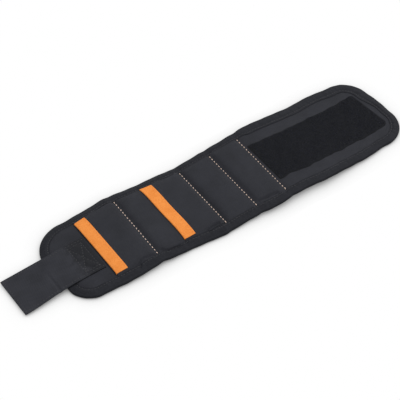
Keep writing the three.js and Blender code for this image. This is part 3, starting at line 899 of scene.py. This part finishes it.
def pile_tree():
    """Loops strewn over a surface, turned and leaning every way."""
    tree = Grower("loop_pile", ("Density", "Height", "Radius"))
    given = tree.given
    bed = {"Mesh": given, "Density": given.other("Density"), "Seed": given.other("Seed")}
    points = tree.node("GeometryNodeDistributePointsOnFaces", bed)
    height = given.other("Height")
    foot = height * 0.55
    start = tree.vector(foot * -1, 0.0, height * -0.2)
    middle = tree.vector(0.0, foot * 0.6, height * 2.2)
    shape = tree.strand(start, middle, tree.vector(foot, 0.0, height * -0.2), given.other("Radius"), 3, 6)
    lean = tree.strewn((-0.6, -0.6, 0.0), (0.6, 0.6, 2 * pi))
    turned = tree.node("FunctionNodeEulerToRotation", {0: lean})
    both = {"Rotation": points.other("Rotation"), "Rotate By": turned}
    rotation = tree.node("FunctionNodeRotateRotation", both, rotation_space="LOCAL")
    size = tree.strewn((0.7, 0.7, 0.55), (1.3, 1.3, 1.1))
    tree.plant(points, shape, rotation, size)
    return tree


def hook_tree():
    """A moulded hook under every point: a short stem that turns over at its tip."""
    tree = Grower("hook_rows", ("Height", "Radius"))
    height = tree.given.other("Height")
    start = tree.vector(height * -0.2, 0.0, 0.0)
    middle = tree.vector(height * -0.1, 0.0, height * -1.9)
    end = tree.vector(height * 0.5, 0.0, height * -0.55)
    shape = tree.strand(start, middle, end, tree.given.other("Radius"), 5, 6)
    tree.plant(tree.given, shape, (0.0, 0.0, 0.0), (1.0, 1.0, 1.0))
    return tree


stitch_rows = stitch_tree()
loop_rows = pile_tree()
hook_rows = hook_tree()
SEAM_STITCH = {"Spacing": 3.5 * MM, "Length": 1.9 * MM, "Radius": 0.32 * MM}
FINE_STITCH = {"Spacing": 2.8 * MM, "Length": 2.3 * MM, "Radius": 0.2 * MM}
PILE = {"Density": 1.9e6, "Height": 0.75 * MM, "Radius": 0.075 * MM}
HOOK = {"Height": HOOK_HEIGHT * MM, "Radius": 0.14 * MM}
UP = np.array((0.0, 0.0, 1.0))
DOWN = -UP


def sew(name, lines, stitch, thread):
    """Rows of stitches along lines: pairs of points in metres and directions out of the cloth."""
    points = np.concatenate([line for line, _ in lines])
    ups = np.concatenate([np.broadcast_to(up, line.shape) for line, up in lines])
    edges = []
    first = 0
    for line, _ in lines:
        edges += [(i, i + 1) for i in range(first, first + len(line) - 1)]
        first += len(line)
    base = add_mesh(name, points, edges)
    base.data.attributes.new("up", "FLOAT_VECTOR", "POINT").data.foreach_set("vector", ups.ravel())
    return stitch_rows.grow(base, stitch, thread)


swell = swollen_cloth()


# Cover and lining, in spans from the middle of one section to the middle of the next


def nodes_of(kind, k, before=0):
    """The model's nodes that span k of this kind stands for. Spans before have no such node."""
    first = k - before
    return [f"{kind}_{first}"] + ([f"{kind}_{first + 1}"] if k == LAST_SPAN else [])


def make_cover(k):
    s, y = span_grid(k, LAYER_INSET)
    top = cover_top(s, y)
    made = layer(f"cover_span_{k}", s, y, top - COVER_THICKNESS, top, cover_cloth)
    bend(made, k)
    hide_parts(*nodes_of("cover", k))


def make_lining(k):
    s, y = span_grid(k, LAYER_INSET)
    low = lining_bottom(s, y)
    made = layer(f"lining_span_{k}", s, y, low, low + LINING_THICKNESS, lining_cloth)
    bend(made, k)
    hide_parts(*nodes_of("backing", k))


# Binding


def outline_runs(k):
    """The edge of span k as lines of places, with the band on their left."""
    start, stop = cuts[k - 1], cuts[k]
    along = np.linspace(start, stop, 200)
    near = np.stack([along, -edge(along, -1)], axis=-1)
    far = np.stack([along, edge(along, 1)], axis=-1)
    if k not in ENDS:
        return [near, far[::-1]]
    end = ENDS[k]
    turns = np.linspace(-pi / 2, pi / 2, 120)
    across = np.sort(np.concatenate([np.sin(turns), np.linspace(-1, 1, 160)]))
    across = across * (half_width(end["tip"], across) - 1e-6)
    tip_line = np.stack([end_place(end, across, 0), across], axis=-1)
    limit = end["side"] * (tip_line[[0, -1], 0])
    near = near[end["side"] * near[:, 0] < limit[0] - 0.3]
    far = far[end["side"] * far[:, 0] < limit[1] - 0.3]
    if k == LAST_SPAN:
        return [np.concatenate([near, tip_line, far[::-1]])]
    return [np.concatenate([far[::-1], tip_line[::-1], near])]


def pocket_sides(s):
    """1 beside a pocket panel, whose sides the binding covers."""
    total = 0.0
    for number, mouth in POCKETS.items():
        start = folds[mouth] + TAPE_LIPS[number]
        total = total + smooth((s - start + 1) / 3) * smooth((folds[mouth + 1] + POCKET_EDGE + 2 - s) / 3)
    return total


def binding_top(s, y, inset):
    """Height of the binding's upper leaf at a distance inside an edge point."""
    radius = EDGE_HEIGHT / 2
    climb = np.clip((inset - radius) / (BINDING_WIDTH - radius), 0, 1)
    lip = shoulder(s) + BINDING_THICKNESS + BINDING_SEAT + PANEL_LIFT * pocket_sides(s)
    beside_strap = STRAP_WIDTH / 2 + STRAP_CLEARANCE - np.abs(y - STRAP_OFFSET)
    under_strap = smooth(beside_strap / 2) * smooth((PAD_START + 4 - s) / 2)
    free = np.sin(pi * climb) * (1 - under_strap)
    swelling = BINDING_BULGE + GATHER_DEPTH * ripple(s + 0.9 * y, 31, 4.3, 6.9, 11.3)
    groove = BINDING_GROOVE * bell((inset - BINDING_STITCH_INSET) / BINDING_GROOVE_REACH)
    creases = near_creases(s, np.sign(y) * (np.abs(y) - inset))
    drawn = SEAM_GROOVE * seam_groove(s, y, BINDING_SEAM_REACH) + creases
    return EDGE_HEIGHT + (lip - EDGE_HEIGHT) * climb + free * swelling - groove - climb * drawn


def make_binding(k):
    from_lip = np.array((0.0, 0.12, 0.5, 0.9))
    leaf = np.concatenate([BINDING_WIDTH - from_lip, np.linspace(BINDING_WIDTH - 1.2, 2.4, LEAF_STEPS)])
    rounding = np.zeros(len(leaf))
    rounding[:2] = (0.22, 0.05)  # at the lip
    turns = np.linspace(pi / 2, -pi / 2, 11)
    back = turns[::-1]
    radius = EDGE_HEIGHT / 2
    inner = radius - BINDING_THICKNESS
    outside = (leaf, radius - radius * np.cos(turns), leaf[::-1])
    inside = (leaf, radius - inner * np.cos(back), leaf[::-1])
    ring = np.concatenate((*outside, *inside))  # distances inside the edge
    strips = []
    stitches = []
    for index, run in enumerate(outline_runs(k)):
        line, places = evenly(run, RUN_STEP)
        heading = unit_headings(line)
        inward = np.stack([-heading[:, 1], heading[:, 0]], axis=-1)
        s, y = line[:, :1], line[:, 1:]
        top = binding_top(s, y, leaf)
        heights = (
            top - rounding,
            radius + radius * np.sin(turns),
            rounding[::-1] / 2,
            BINDING_THICKNESS - rounding / 2,
            radius + inner * np.sin(back),
            top[:, ::-1] - BINDING_THICKNESS + rounding[::-1],
        )
        height = np.concatenate([part + np.zeros_like(s) for part in heights], axis=1)
        stretch = (binding_width(s, y) - radius) / (BINDING_WIDTH - radius)
        depth = ring + (stretch - 1) * np.maximum(ring - radius, 0)
        wander = ripple(s + 0.9 * y, 33, 37, 59, 23) * (depth / BINDING_WIDTH) + ripple(s - y, 35, 15, 27, 61)
        depth = depth + BINDING_WANDER * wander
        rings = lay(s + inward[:, :1] * depth, y + inward[:, 1:] * depth, height)
        cloth = np.stack(np.broadcast_arrays(places[:, None], girth(depth[0], height[0])), axis=-1)
        strips.append(swept(f"binding_span_{k}_{index}", rings, cloth, binding_cloth))
        sewn = line + inward * (radius + (BINDING_STITCH_INSET - radius) * stretch)
        rise = shoulder(s) + BINDING_THICKNESS + BINDING_SEAT - EDGE_HEIGHT
        lean = np.concatenate([-inward * rise / BINDING_WIDTH, np.ones_like(s)], axis=1)
        sewn_h = binding_top(s, y, BINDING_STITCH_INSET)[:, 0]
        stitches.append((lay(*sewn.T, sewn_h), lean))
        stitches.append((lay(*sewn.T, UNDER_STITCH), DOWN))
    made = joined(strips, f"binding_span_{k}")
    bend(made, k)
    nodes = [f"binding_near_{k}", f"binding_far_{k}"] if k > 1 else ["binding_strap_end"]
    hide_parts(*nodes, *(["binding_loop_end"] if k == LAST_SPAN else []))
    length = sum(evenly(run, RUN_STEP)[1][-1] for run in outline_runs(k))
    thread = sew(f"binding_thread_{k}", stitches, FINE_STITCH, black_thread)
    bend(thread, k)


# Cross seams


def make_seam(k):
    y = np.linspace(SEAM_END - edge(folds[k], -1), edge(folds[k], 1) - SEAM_END, 90)
    s = seam_at(k, y)
    pocket = POCKET_THICKNESS + 0.2 if k - 1 in POCKETS.values() else 0.0
    on_top = np.abs(y) < HALF_WIDTH - BINDING_WIDTH
    above = np.where(on_top, cover_top(s, y) + pocket, binding_top(s, y, half_width(s, y) - np.abs(y)))
    lines = [(lay(s, y, softened(above[:, None], 1, 3)[:, 0] + 0.1), UP)]
    made = sew(f"seam_thread_{k}", lines, SEAM_STITCH, seam_thread)
    bend(made, k)
    under_y = y * SEAM_BACK_SHARE
    under = lay(s, under_y, lining_bottom(s, under_y))
    back = sew(f"seam_back_thread_{k}", [(under, DOWN)], SEAM_STITCH, black_thread)
    bend(back, k)


# Pockets


def pocket_bottom(s, y, mouth):
    """Underside of a pocket panel: it lies on the cover and stands off it a little at its mouth."""
    gape = MOUTH_GAPE * np.exp((folds[mouth] - s) / GAPE_REACH) * (1 - (y / HALF_WIDTH) ** 2)
    return np.maximum(cover_top(s, y), cover_top(s, y, POCKET_FILL)) + POCKET_SEAT + gape


def make_pocket(number):
    mouth = POCKETS[number]
    reach = HALF_WIDTH - BINDING_WIDTH + POCKET_CAUGHT
    rows = np.linspace(-reach, reach, round(2 * reach / GRID_STEP) + 1)[:, None]
    start = folds[mouth] + TAPE_LIPS[number] + 0.5
    stop = seam_at(mouth + 1, rows) + POCKET_EDGE
    columns = round(SECTION_LENGTHS[mouth] / POCKET_STEP)
    s = start + (stop - start) * np.linspace(0, 1, columns + 1)[None, :]
    y = np.broadcast_to(rows, s.shape)
    past_seam = np.clip(s - seam_at(mouth + 1, y), 0, POCKET_EDGE)
    low = pocket_bottom(s, y, mouth) + 0.12 * past_seam
    caught = smooth((np.abs(y) - reach + 3) / 2)
    high = low + POCKET_THICKNESS - 0.25 * smooth(past_seam / POCKET_EDGE) - 0.35 * caught
    made = layer(f"pocket_cloth_{number}", s, y, low, high, cover_cloth)
    bend(made, mouth + 1)
    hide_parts(f"pocket_panel_{number}")


def make_mouth_tape(number):
    mouth = POCKETS[number]
    lip = folds[mouth] + TAPE_LIPS[number]
    width = TAPE_WIDTHS[number]
    leaf = np.linspace(lip + width, lip + TAPE_ROUND, LEAF_STEPS)
    tuck = np.linspace(lip + TAPE_ROUND, lip + TAPE_TUCK, 6)
    turns = np.linspace(pi / 2, -pi / 2, 9)[1:-1]
    rows = np.linspace(-TAPE_REACH, TAPE_REACH, TAPE_ROWS)[:, None]
    at_lip, at_seam = TAPE_SLANTS[number]

    def drawn_in(places):
        """Places across the band of the tape's rows, which its slanted far end draws in."""
        amount = at_lip + (at_seam - at_lip) * (places - lip) / width
        return rows - amount * (rows / (2 * TAPE_REACH) + 0.5)

    def ring(inset):
        """Outside of the folded tape, drawn in by inset: along the top, round the lip and back inside."""
        top = pocket_bottom(leaf, drawn_in(leaf), mouth) + POCKET_THICKNESS + TAPE_THICKNESS - inset
        bottom = pocket_bottom(tuck, drawn_in(tuck), mouth) - TAPE_THICKNESS + inset
        middle = (top[:, -1:] + bottom[:, :1]) / 2
        half = (top[:, -1:] - bottom[:, :1]) / 2
        round_h = middle + half * np.sin(turns)
        around = lip + TAPE_ROUND - (TAPE_ROUND - inset) * np.cos(turns)
        places = np.concatenate([leaf, around, tuck])
        return places, np.concatenate([top, round_h, bottom], axis=1)

    outer_s, outer_h = ring(0.0)
    inner_s, inner_h = ring(TAPE_THICKNESS)
    s = np.concatenate([outer_s, inner_s[::-1]])[None, :]
    h = np.concatenate([outer_h, inner_h[:, ::-1]], axis=1)
    sway = 0.12 * ripple(rows, 50 + number, 53, 37) + TAPE_BOW * (0.2 - (rows / TAPE_REACH) ** 2)
    rings = lay(s + sway, drawn_in(s), h)
    cloth = np.stack(np.broadcast_arrays(rows, girth(s[0], h[TAPE_ROWS // 2])), axis=-1)
    made = swept(f"mouth_tape_{number}", rings, cloth, mouth_cloth)
    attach(made, f"section_{mouth + 1}")
    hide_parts(f"pocket_tape_{number}")
    sewn = lip + width - TAPE_STITCH
    line_y = drawn_in(sewn)[3:-3, 0]
    line_h = pocket_bottom(sewn, line_y, mouth) + POCKET_THICKNESS + TAPE_THICKNESS - 0.05
    line = lay(sewn + sway[3:-3, 0], line_y, line_h)
    thread = sew(f"tape_thread_{number}", [(line, UP)], FINE_STITCH, tape_thread)
    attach(thread, f"section_{mouth + 1}")


# Strap


def strap_line():
    """The strap's middle line in X and Z, from its sewn end to its tip, with places along it."""
    sewn = np.array(
        (
            (folds[1] - 0.8, 5.75),
            (folds[1] - 4.0, 5.85),
            (folds[1] - 9.5, 5.95),
            (PAD_START + 16, 5.95),
            (PAD_START + BINDING_WIDTH, 5.65),
            (PAD_START + 2, 4.95),
        )
    )
    on_band = lay(sewn[:, 0], 0.0, sewn[:, 1])[:, [0, 2]] / MM
    low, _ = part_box("strap_tail")
    fold = hinge_at["strap_fold"] + (0.0, 0.35)
    tip_height = HOOK_BASE + HOOK_HEIGHT + 0.25 + STRAP_THICKNESS / 2
    tip = np.array((low[0] / MM - STRAP_TIP_OVERHANG, tip_height))
    line, _ = evenly(np.array((*on_band, fold, tip)), STRAP_STEP)
    return evenly(softened(line, STRAP_STEP, STRAP_EASE), STRAP_STEP)


def strap_dents(places, y):
    """How deep the strap is drawn in by its box stitch, and where it leaves the pad."""
    middle = (BOX_START + BOX_STOP) / 2
    half = BOX_STOP - middle
    along = half - np.abs(places - middle)
    across = BOX_HALF - np.abs(y)
    inside = smooth(along / BOX_EASE + 1) * smooth(across / BOX_EASE + 1)
    diagonal = np.abs(np.abs(y) - BOX_HALF * np.abs(places - middle) / half)
    border = np.minimum(np.abs(across), np.abs(along))
    rumple = BOX_RUMPLE * inside * ripple(places, 63, 9, 14) * ripple(y, 64, 12, 19)
    box = BOX_GROOVE * inside * bell(np.minimum(0.55 * diagonal, border) / STRAP_DENT_REACH)
    crease = STRAP_CREASE_DEPTH * bell((places - STRAP_CREASE) / STRAP_DENT_REACH) * smooth((8 - y) / 12)
    return box + crease + rumple


def strap_spread(places, y):
    """How far the near half of the strap stands out towards its tip."""
    share = smooth((places - STRAP_SPREAD_START) / STRAP_SPREAD_RUN)
    return STRAP_SPREAD * share * np.clip(0.5 - y / STRAP_WIDTH, 0, 1)


def strap_points(line, places, where, y, height):
    """Points on the strap at distances along it, across it and above its middle line."""
    heading = unit_headings(line)
    where, y = np.broadcast_arrays(where, y)
    height = height - strap_dents(where, y)
    y = y - strap_spread(where, y)
    x = np.interp(where, places, line[:, 0]) + height * np.interp(where, places, heading[:, 1])
    z = np.interp(where, places, line[:, 1]) - height * np.interp(where, places, heading[:, 0])
    return np.stack([x, y + STRAP_OFFSET, z], axis=-1) * MM


def ribbon(name, line, places, width, thickness, offset, material):
    """A flat strip with soft edges along the strap's line, at an offset from it."""
    half = width / 2
    selvage = np.array((0.0, 0.04, 0.14, 0.3, 0.5, 1.0, 1.8, 2.6))
    inside = np.linspace(-half + 3.4, half - 3.4, 24)
    across = np.concatenate([-half + selvage, inside, (half - selvage)[::-1]])
    from_edge = half - np.abs(across)
    body = thickness / 2 * np.sqrt(np.clip(1 - (1 - np.clip(from_edge / 0.5, 0, 1)) ** 2, 0.02, 1))
    groove = 0.12 * bell((from_edge - STRAP_STITCH) / 0.5)
    ring_y = np.concatenate([across, across[::-1]])
    ring_h = np.concatenate([body - groove, -(body - groove)[::-1]])
    along = places[:, None]
    lift = offset + 0.12 * ripple(along, 61, 29, 43) * ripple(ring_y, 62, 31, 19)
    rings = strap_points(line, places, along, ring_y, ring_h + lift)
    cloth = np.stack(np.broadcast_arrays(along, ring_y - strap_spread(along, ring_y)), axis=-1)
    return swept(name, rings, cloth, material)


def bend_strap(made):
    """Bakes the piece's transform into its mesh."""
    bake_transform(made)


def make_strap(line, places, cut):
    """The strap's webbing, in a sewn and a free piece that meet at a length along it."""
    split = int(np.searchsorted(places, cut))
    webbing = (STRAP_WIDTH, STRAP_THICKNESS, 0.0, strap_cloth)
    sewn = ribbon("strap_sewn", line[: split + 1], places[: split + 1], *webbing)
    bend(sewn, 1)
    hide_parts("strap_root")
    free = ribbon("strap_free", line[split:], places[split:], *webbing)
    bend_strap(free)
    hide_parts("strap_tail")
    for made, length in ((sewn, cut), (free, places[-1] - cut)):
        length * MM


def sew_strap(line, places, cut):
    """Stitches along the strap's edges, round its tip and in the box that holds it to the band."""
    top = STRAP_THICKNESS / 2 - 0.1
    border = STRAP_WIDTH / 2 - STRAP_STITCH
    stop = places[-1] - STRAP_STITCH

    def row(where, y, height=top):
        return strap_points(line, places, where, y, height), UP

    near, far = -BOX_HALF, BOX_HALF
    corners = np.array(((BOX_START, near), (BOX_START, far), (BOX_STOP, far), (BOX_STOP, near)))
    sides = [corners[[0, 1, 2, 3, 0]], corners[[0, 2]], corners[[1, 3]]]
    rows = [row(np.linspace(1.5, cut, 60), side * border) for side in (-1, 1)]
    rows += [row(*evenly(path, 1.0)[0].T, top + 0.1) for path in sides]
    thread = sew("strap_sewn_thread", rows, FINE_STITCH, black_thread)
    bend(thread, 1)
    rows = [row(np.linspace(cut, stop, 120), side * border) for side in (-1, 1)]
    rows.append(row(stop, np.linspace(-border, border, 50)))
    thread = sew("strap_free_thread", rows, FINE_STITCH, black_thread)
    bend_strap(thread)


def make_hooks(line, places):
    """The hook tape under the free strap."""
    start = np.interp(HOOK_SETBACK - hinge_at["strap_fold"][0], -line[:, 0], places)
    keep = (places > start) & (places < places[-1] - HOOK_MARGIN)
    line = line[keep]
    places = places[keep]
    under = -(STRAP_THICKNESS + HOOK_BASE) / 2
    width = STRAP_WIDTH - 2 * HOOK_MARGIN
    base = ribbon("hook_base", line, places, width, HOOK_BASE, under, hook_plastic)
    along = np.arange(places[0] + 1.2, places[-1] - 1.0, HOOK_PITCH)
    across = np.arange(-width / 2 + 1.2, width / 2 - 1.0, HOOK_PITCH)
    roots = strap_points(line, places, along[:, None], across, under - HOOK_BASE * 0.4)
    hooks = hook_rows.grow(add_mesh("hook_rows", roots), HOOK, hook_plastic)
    for made in (base, hooks):
        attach(made, "strap")
    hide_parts("hook_tape")


# Loop patch


def make_loop_patch(k):
    start = LOOP_START if k == FIRST_LOOP_SPAN else cuts[k - 1]
    stop = LOOP_STOP if k == LAST_SPAN else cuts[k]
    rows = np.linspace(-LOOP_HALF_WIDTH, LOOP_HALF_WIDTH, 101)[:, None]
    over = np.clip(np.abs(rows) - (LOOP_HALF_WIDTH - LOOP_CORNER), 0, LOOP_CORNER)
    cut_off = LOOP_CORNER - np.sqrt(LOOP_CORNER**2 - over**2)
    slant = LOOP_SLANT * (rows / LOOP_HALF_WIDTH + 1) / 2
    first = start + 0.1 * cut_off * (k == FIRST_LOOP_SPAN)
    last = stop - (cut_off + slant) * (k == LAST_SPAN)
    columns = round((stop - start) / LOOP_STEP)
    s = first + (last - first) * np.linspace(0, 1, columns + 1)[None, :]
    wander = LOOP_WANDER * ripple(s, 71, 13, 23, 37) * np.sign(rows) * smooth((np.abs(rows) - 18) / 7)
    y = rows + wander + np.interp(s, list(LOOP_SHIFTS), list(LOOP_SHIFTS.values()))
    from_edge = LOOP_HALF_WIDTH - np.abs(rows)
    low = cover_top(s, y) + LOOP_SEAT
    high = low + LOOP_BASE * smooth(from_edge + 0.3)
    made = layer(f"loop_field_{k}", s, y, low, high, loop_cloth)
    planted = slice(k == FIRST_LOOP_SPAN, -1 if k == LAST_SPAN else None)
    bed = lay(s, y, high)[2:-2, planted]
    bed = add_mesh(f"loop_pile_{k}", bed, faces=quads(*bed.shape[:2])[:, ::-1])
    pile = loop_rows.grow(bed, PILE, loop_pile, seed=k)
    for part in (made, pile):
        bend(part, k)
    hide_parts(*nodes_of("loop_patch", k, FIRST_LOOP_SPAN - 1))


for span in SPANS:
    make_cover(span)
    make_lining(span)
    make_binding(span)
for sewn_fold in SEWN_FOLDS:
    make_seam(sewn_fold)
for pocket_number in POCKETS:
    make_pocket(pocket_number)
    make_mouth_tape(pocket_number)
strap_middle, strap_places = strap_line()
strap_cut = np.interp(-lay(STRAP_CUT, 0.0, 6.0)[0] / MM, -strap_middle[:, 0], strap_places)
make_strap(strap_middle, strap_places, strap_cut)
sew_strap(strap_middle, strap_places, strap_cut)
make_hooks(strap_middle, strap_places)
for span in range(FIRST_LOOP_SPAN, LAST_SPAN + 1):
    make_loop_patch(span)
for name, node in frame["nodes"].items():
    if name.startswith("magnet"):
        node.data.materials.clear()
        node.data.materials.append(nickel_plate)


# Floor, light and camera

CAMERA_AZIMUTH = radians(-34.83)
CAMERA_ELEVATION = radians(46.98)
CAMERA_DISTANCE = 1.318
CAMERA_AIM = Vector((-0.0088, -0.0005, 0.0))
CAMERA_LENS = 134.0
FLOOR_SHADOW_REACH = 0.016
FLOOR_REACH = 3.0
FLOOR_HEIGHT = -0.0002
WORLD_LIGHT = 0.35
LAMPS = (  # place, width and power of each soft lamp
    ((1.95, 0.46, 3.46), 1.8, 130.0),
    ((-1.25, -2.25, 2.5), 2.5, 31.0),
)


def make_floor():
    """A white floor that shows only the soft shade of what is near it."""
    square = FLOOR_REACH * np.array(((-1, -1), (1, -1), (1, 1), (-1, 1)))
    corners = [(x, y, FLOOR_HEIGHT) for x, y in square]
    floor = add_mesh("floor", corners, faces=[range(4)])
    material = bpy.data.materials.new("pale_floor")
    material.use_nodes = True
    material.node_tree.nodes.clear()
    tree = Tree(material.node_tree)
    reach = {"Distance": FLOOR_SHADOW_REACH}
    shaded = tree.node("ShaderNodeAmbientOcclusion", reach, "AO", samples=12)
    tint = tree.node("ShaderNodeCombineColor", {0: shaded, 1: shaded, 2: shaded})
    seen = tree.node("ShaderNodeBsdfTransparent", {"Color": tint})
    clear = tree.node("ShaderNodeBsdfTransparent")
    camera_ray = tree.node("ShaderNodeLightPath", None, "Is Camera Ray")
    from_above = 1 - tree.node("ShaderNodeNewGeometry", None, "Backfacing")
    look = tree.node("ShaderNodeMixShader", {0: camera_ray * from_above, 1: clear, 2: seen})
    tree.node("ShaderNodeOutputMaterial", {"Surface": look})
    floor.data.materials.append(material)


def make_light():
    world = bpy.data.worlds.new("studio")
    world.use_nodes = True
    world.node_tree.nodes.clear()
    tree = Tree(world.node_tree)
    camera_ray = tree.node("ShaderNodeLightPath", None, "Is Camera Ray")
    seen = camera_ray.math("MAXIMUM", camera_ray.other("Is Glossy Ray"))
    seen = seen.math("MAXIMUM", camera_ray.other("Is Transmission Ray"))
    strength = WORLD_LIGHT + (1 - WORLD_LIGHT) * seen
    sky = tree.node("ShaderNodeBackground", {"Color": (1, 1, 1, 1), "Strength": strength})
    tree.node("ShaderNodeOutputWorld", {"Surface": sky})
    scene.world = world
    for place, width, power in LAMPS:
        lamp = bpy.data.lights.new("soft_lamp", "AREA")
        lamp.size = width
        lamp.energy = power
        holder = add_object("soft_lamp", lamp)
        holder.location = place
        holder.rotation_euler = (-Vector(place)).to_track_quat("-Z", "Y").to_euler()


def make_camera():
    flat = cos(CAMERA_ELEVATION)
    back = Vector((sin(CAMERA_AZIMUTH) * flat, -cos(CAMERA_AZIMUTH) * flat, sin(CAMERA_ELEVATION)))
    camera = add_object("camera", bpy.data.cameras.new("camera"))
    camera.data.lens = CAMERA_LENS
    camera.location = CAMERA_AIM + back * CAMERA_DISTANCE
    camera.rotation_euler = (-back).to_track_quat("-Z", "Y").to_euler()
    scene.camera = camera


make_floor()
make_light()
make_camera()
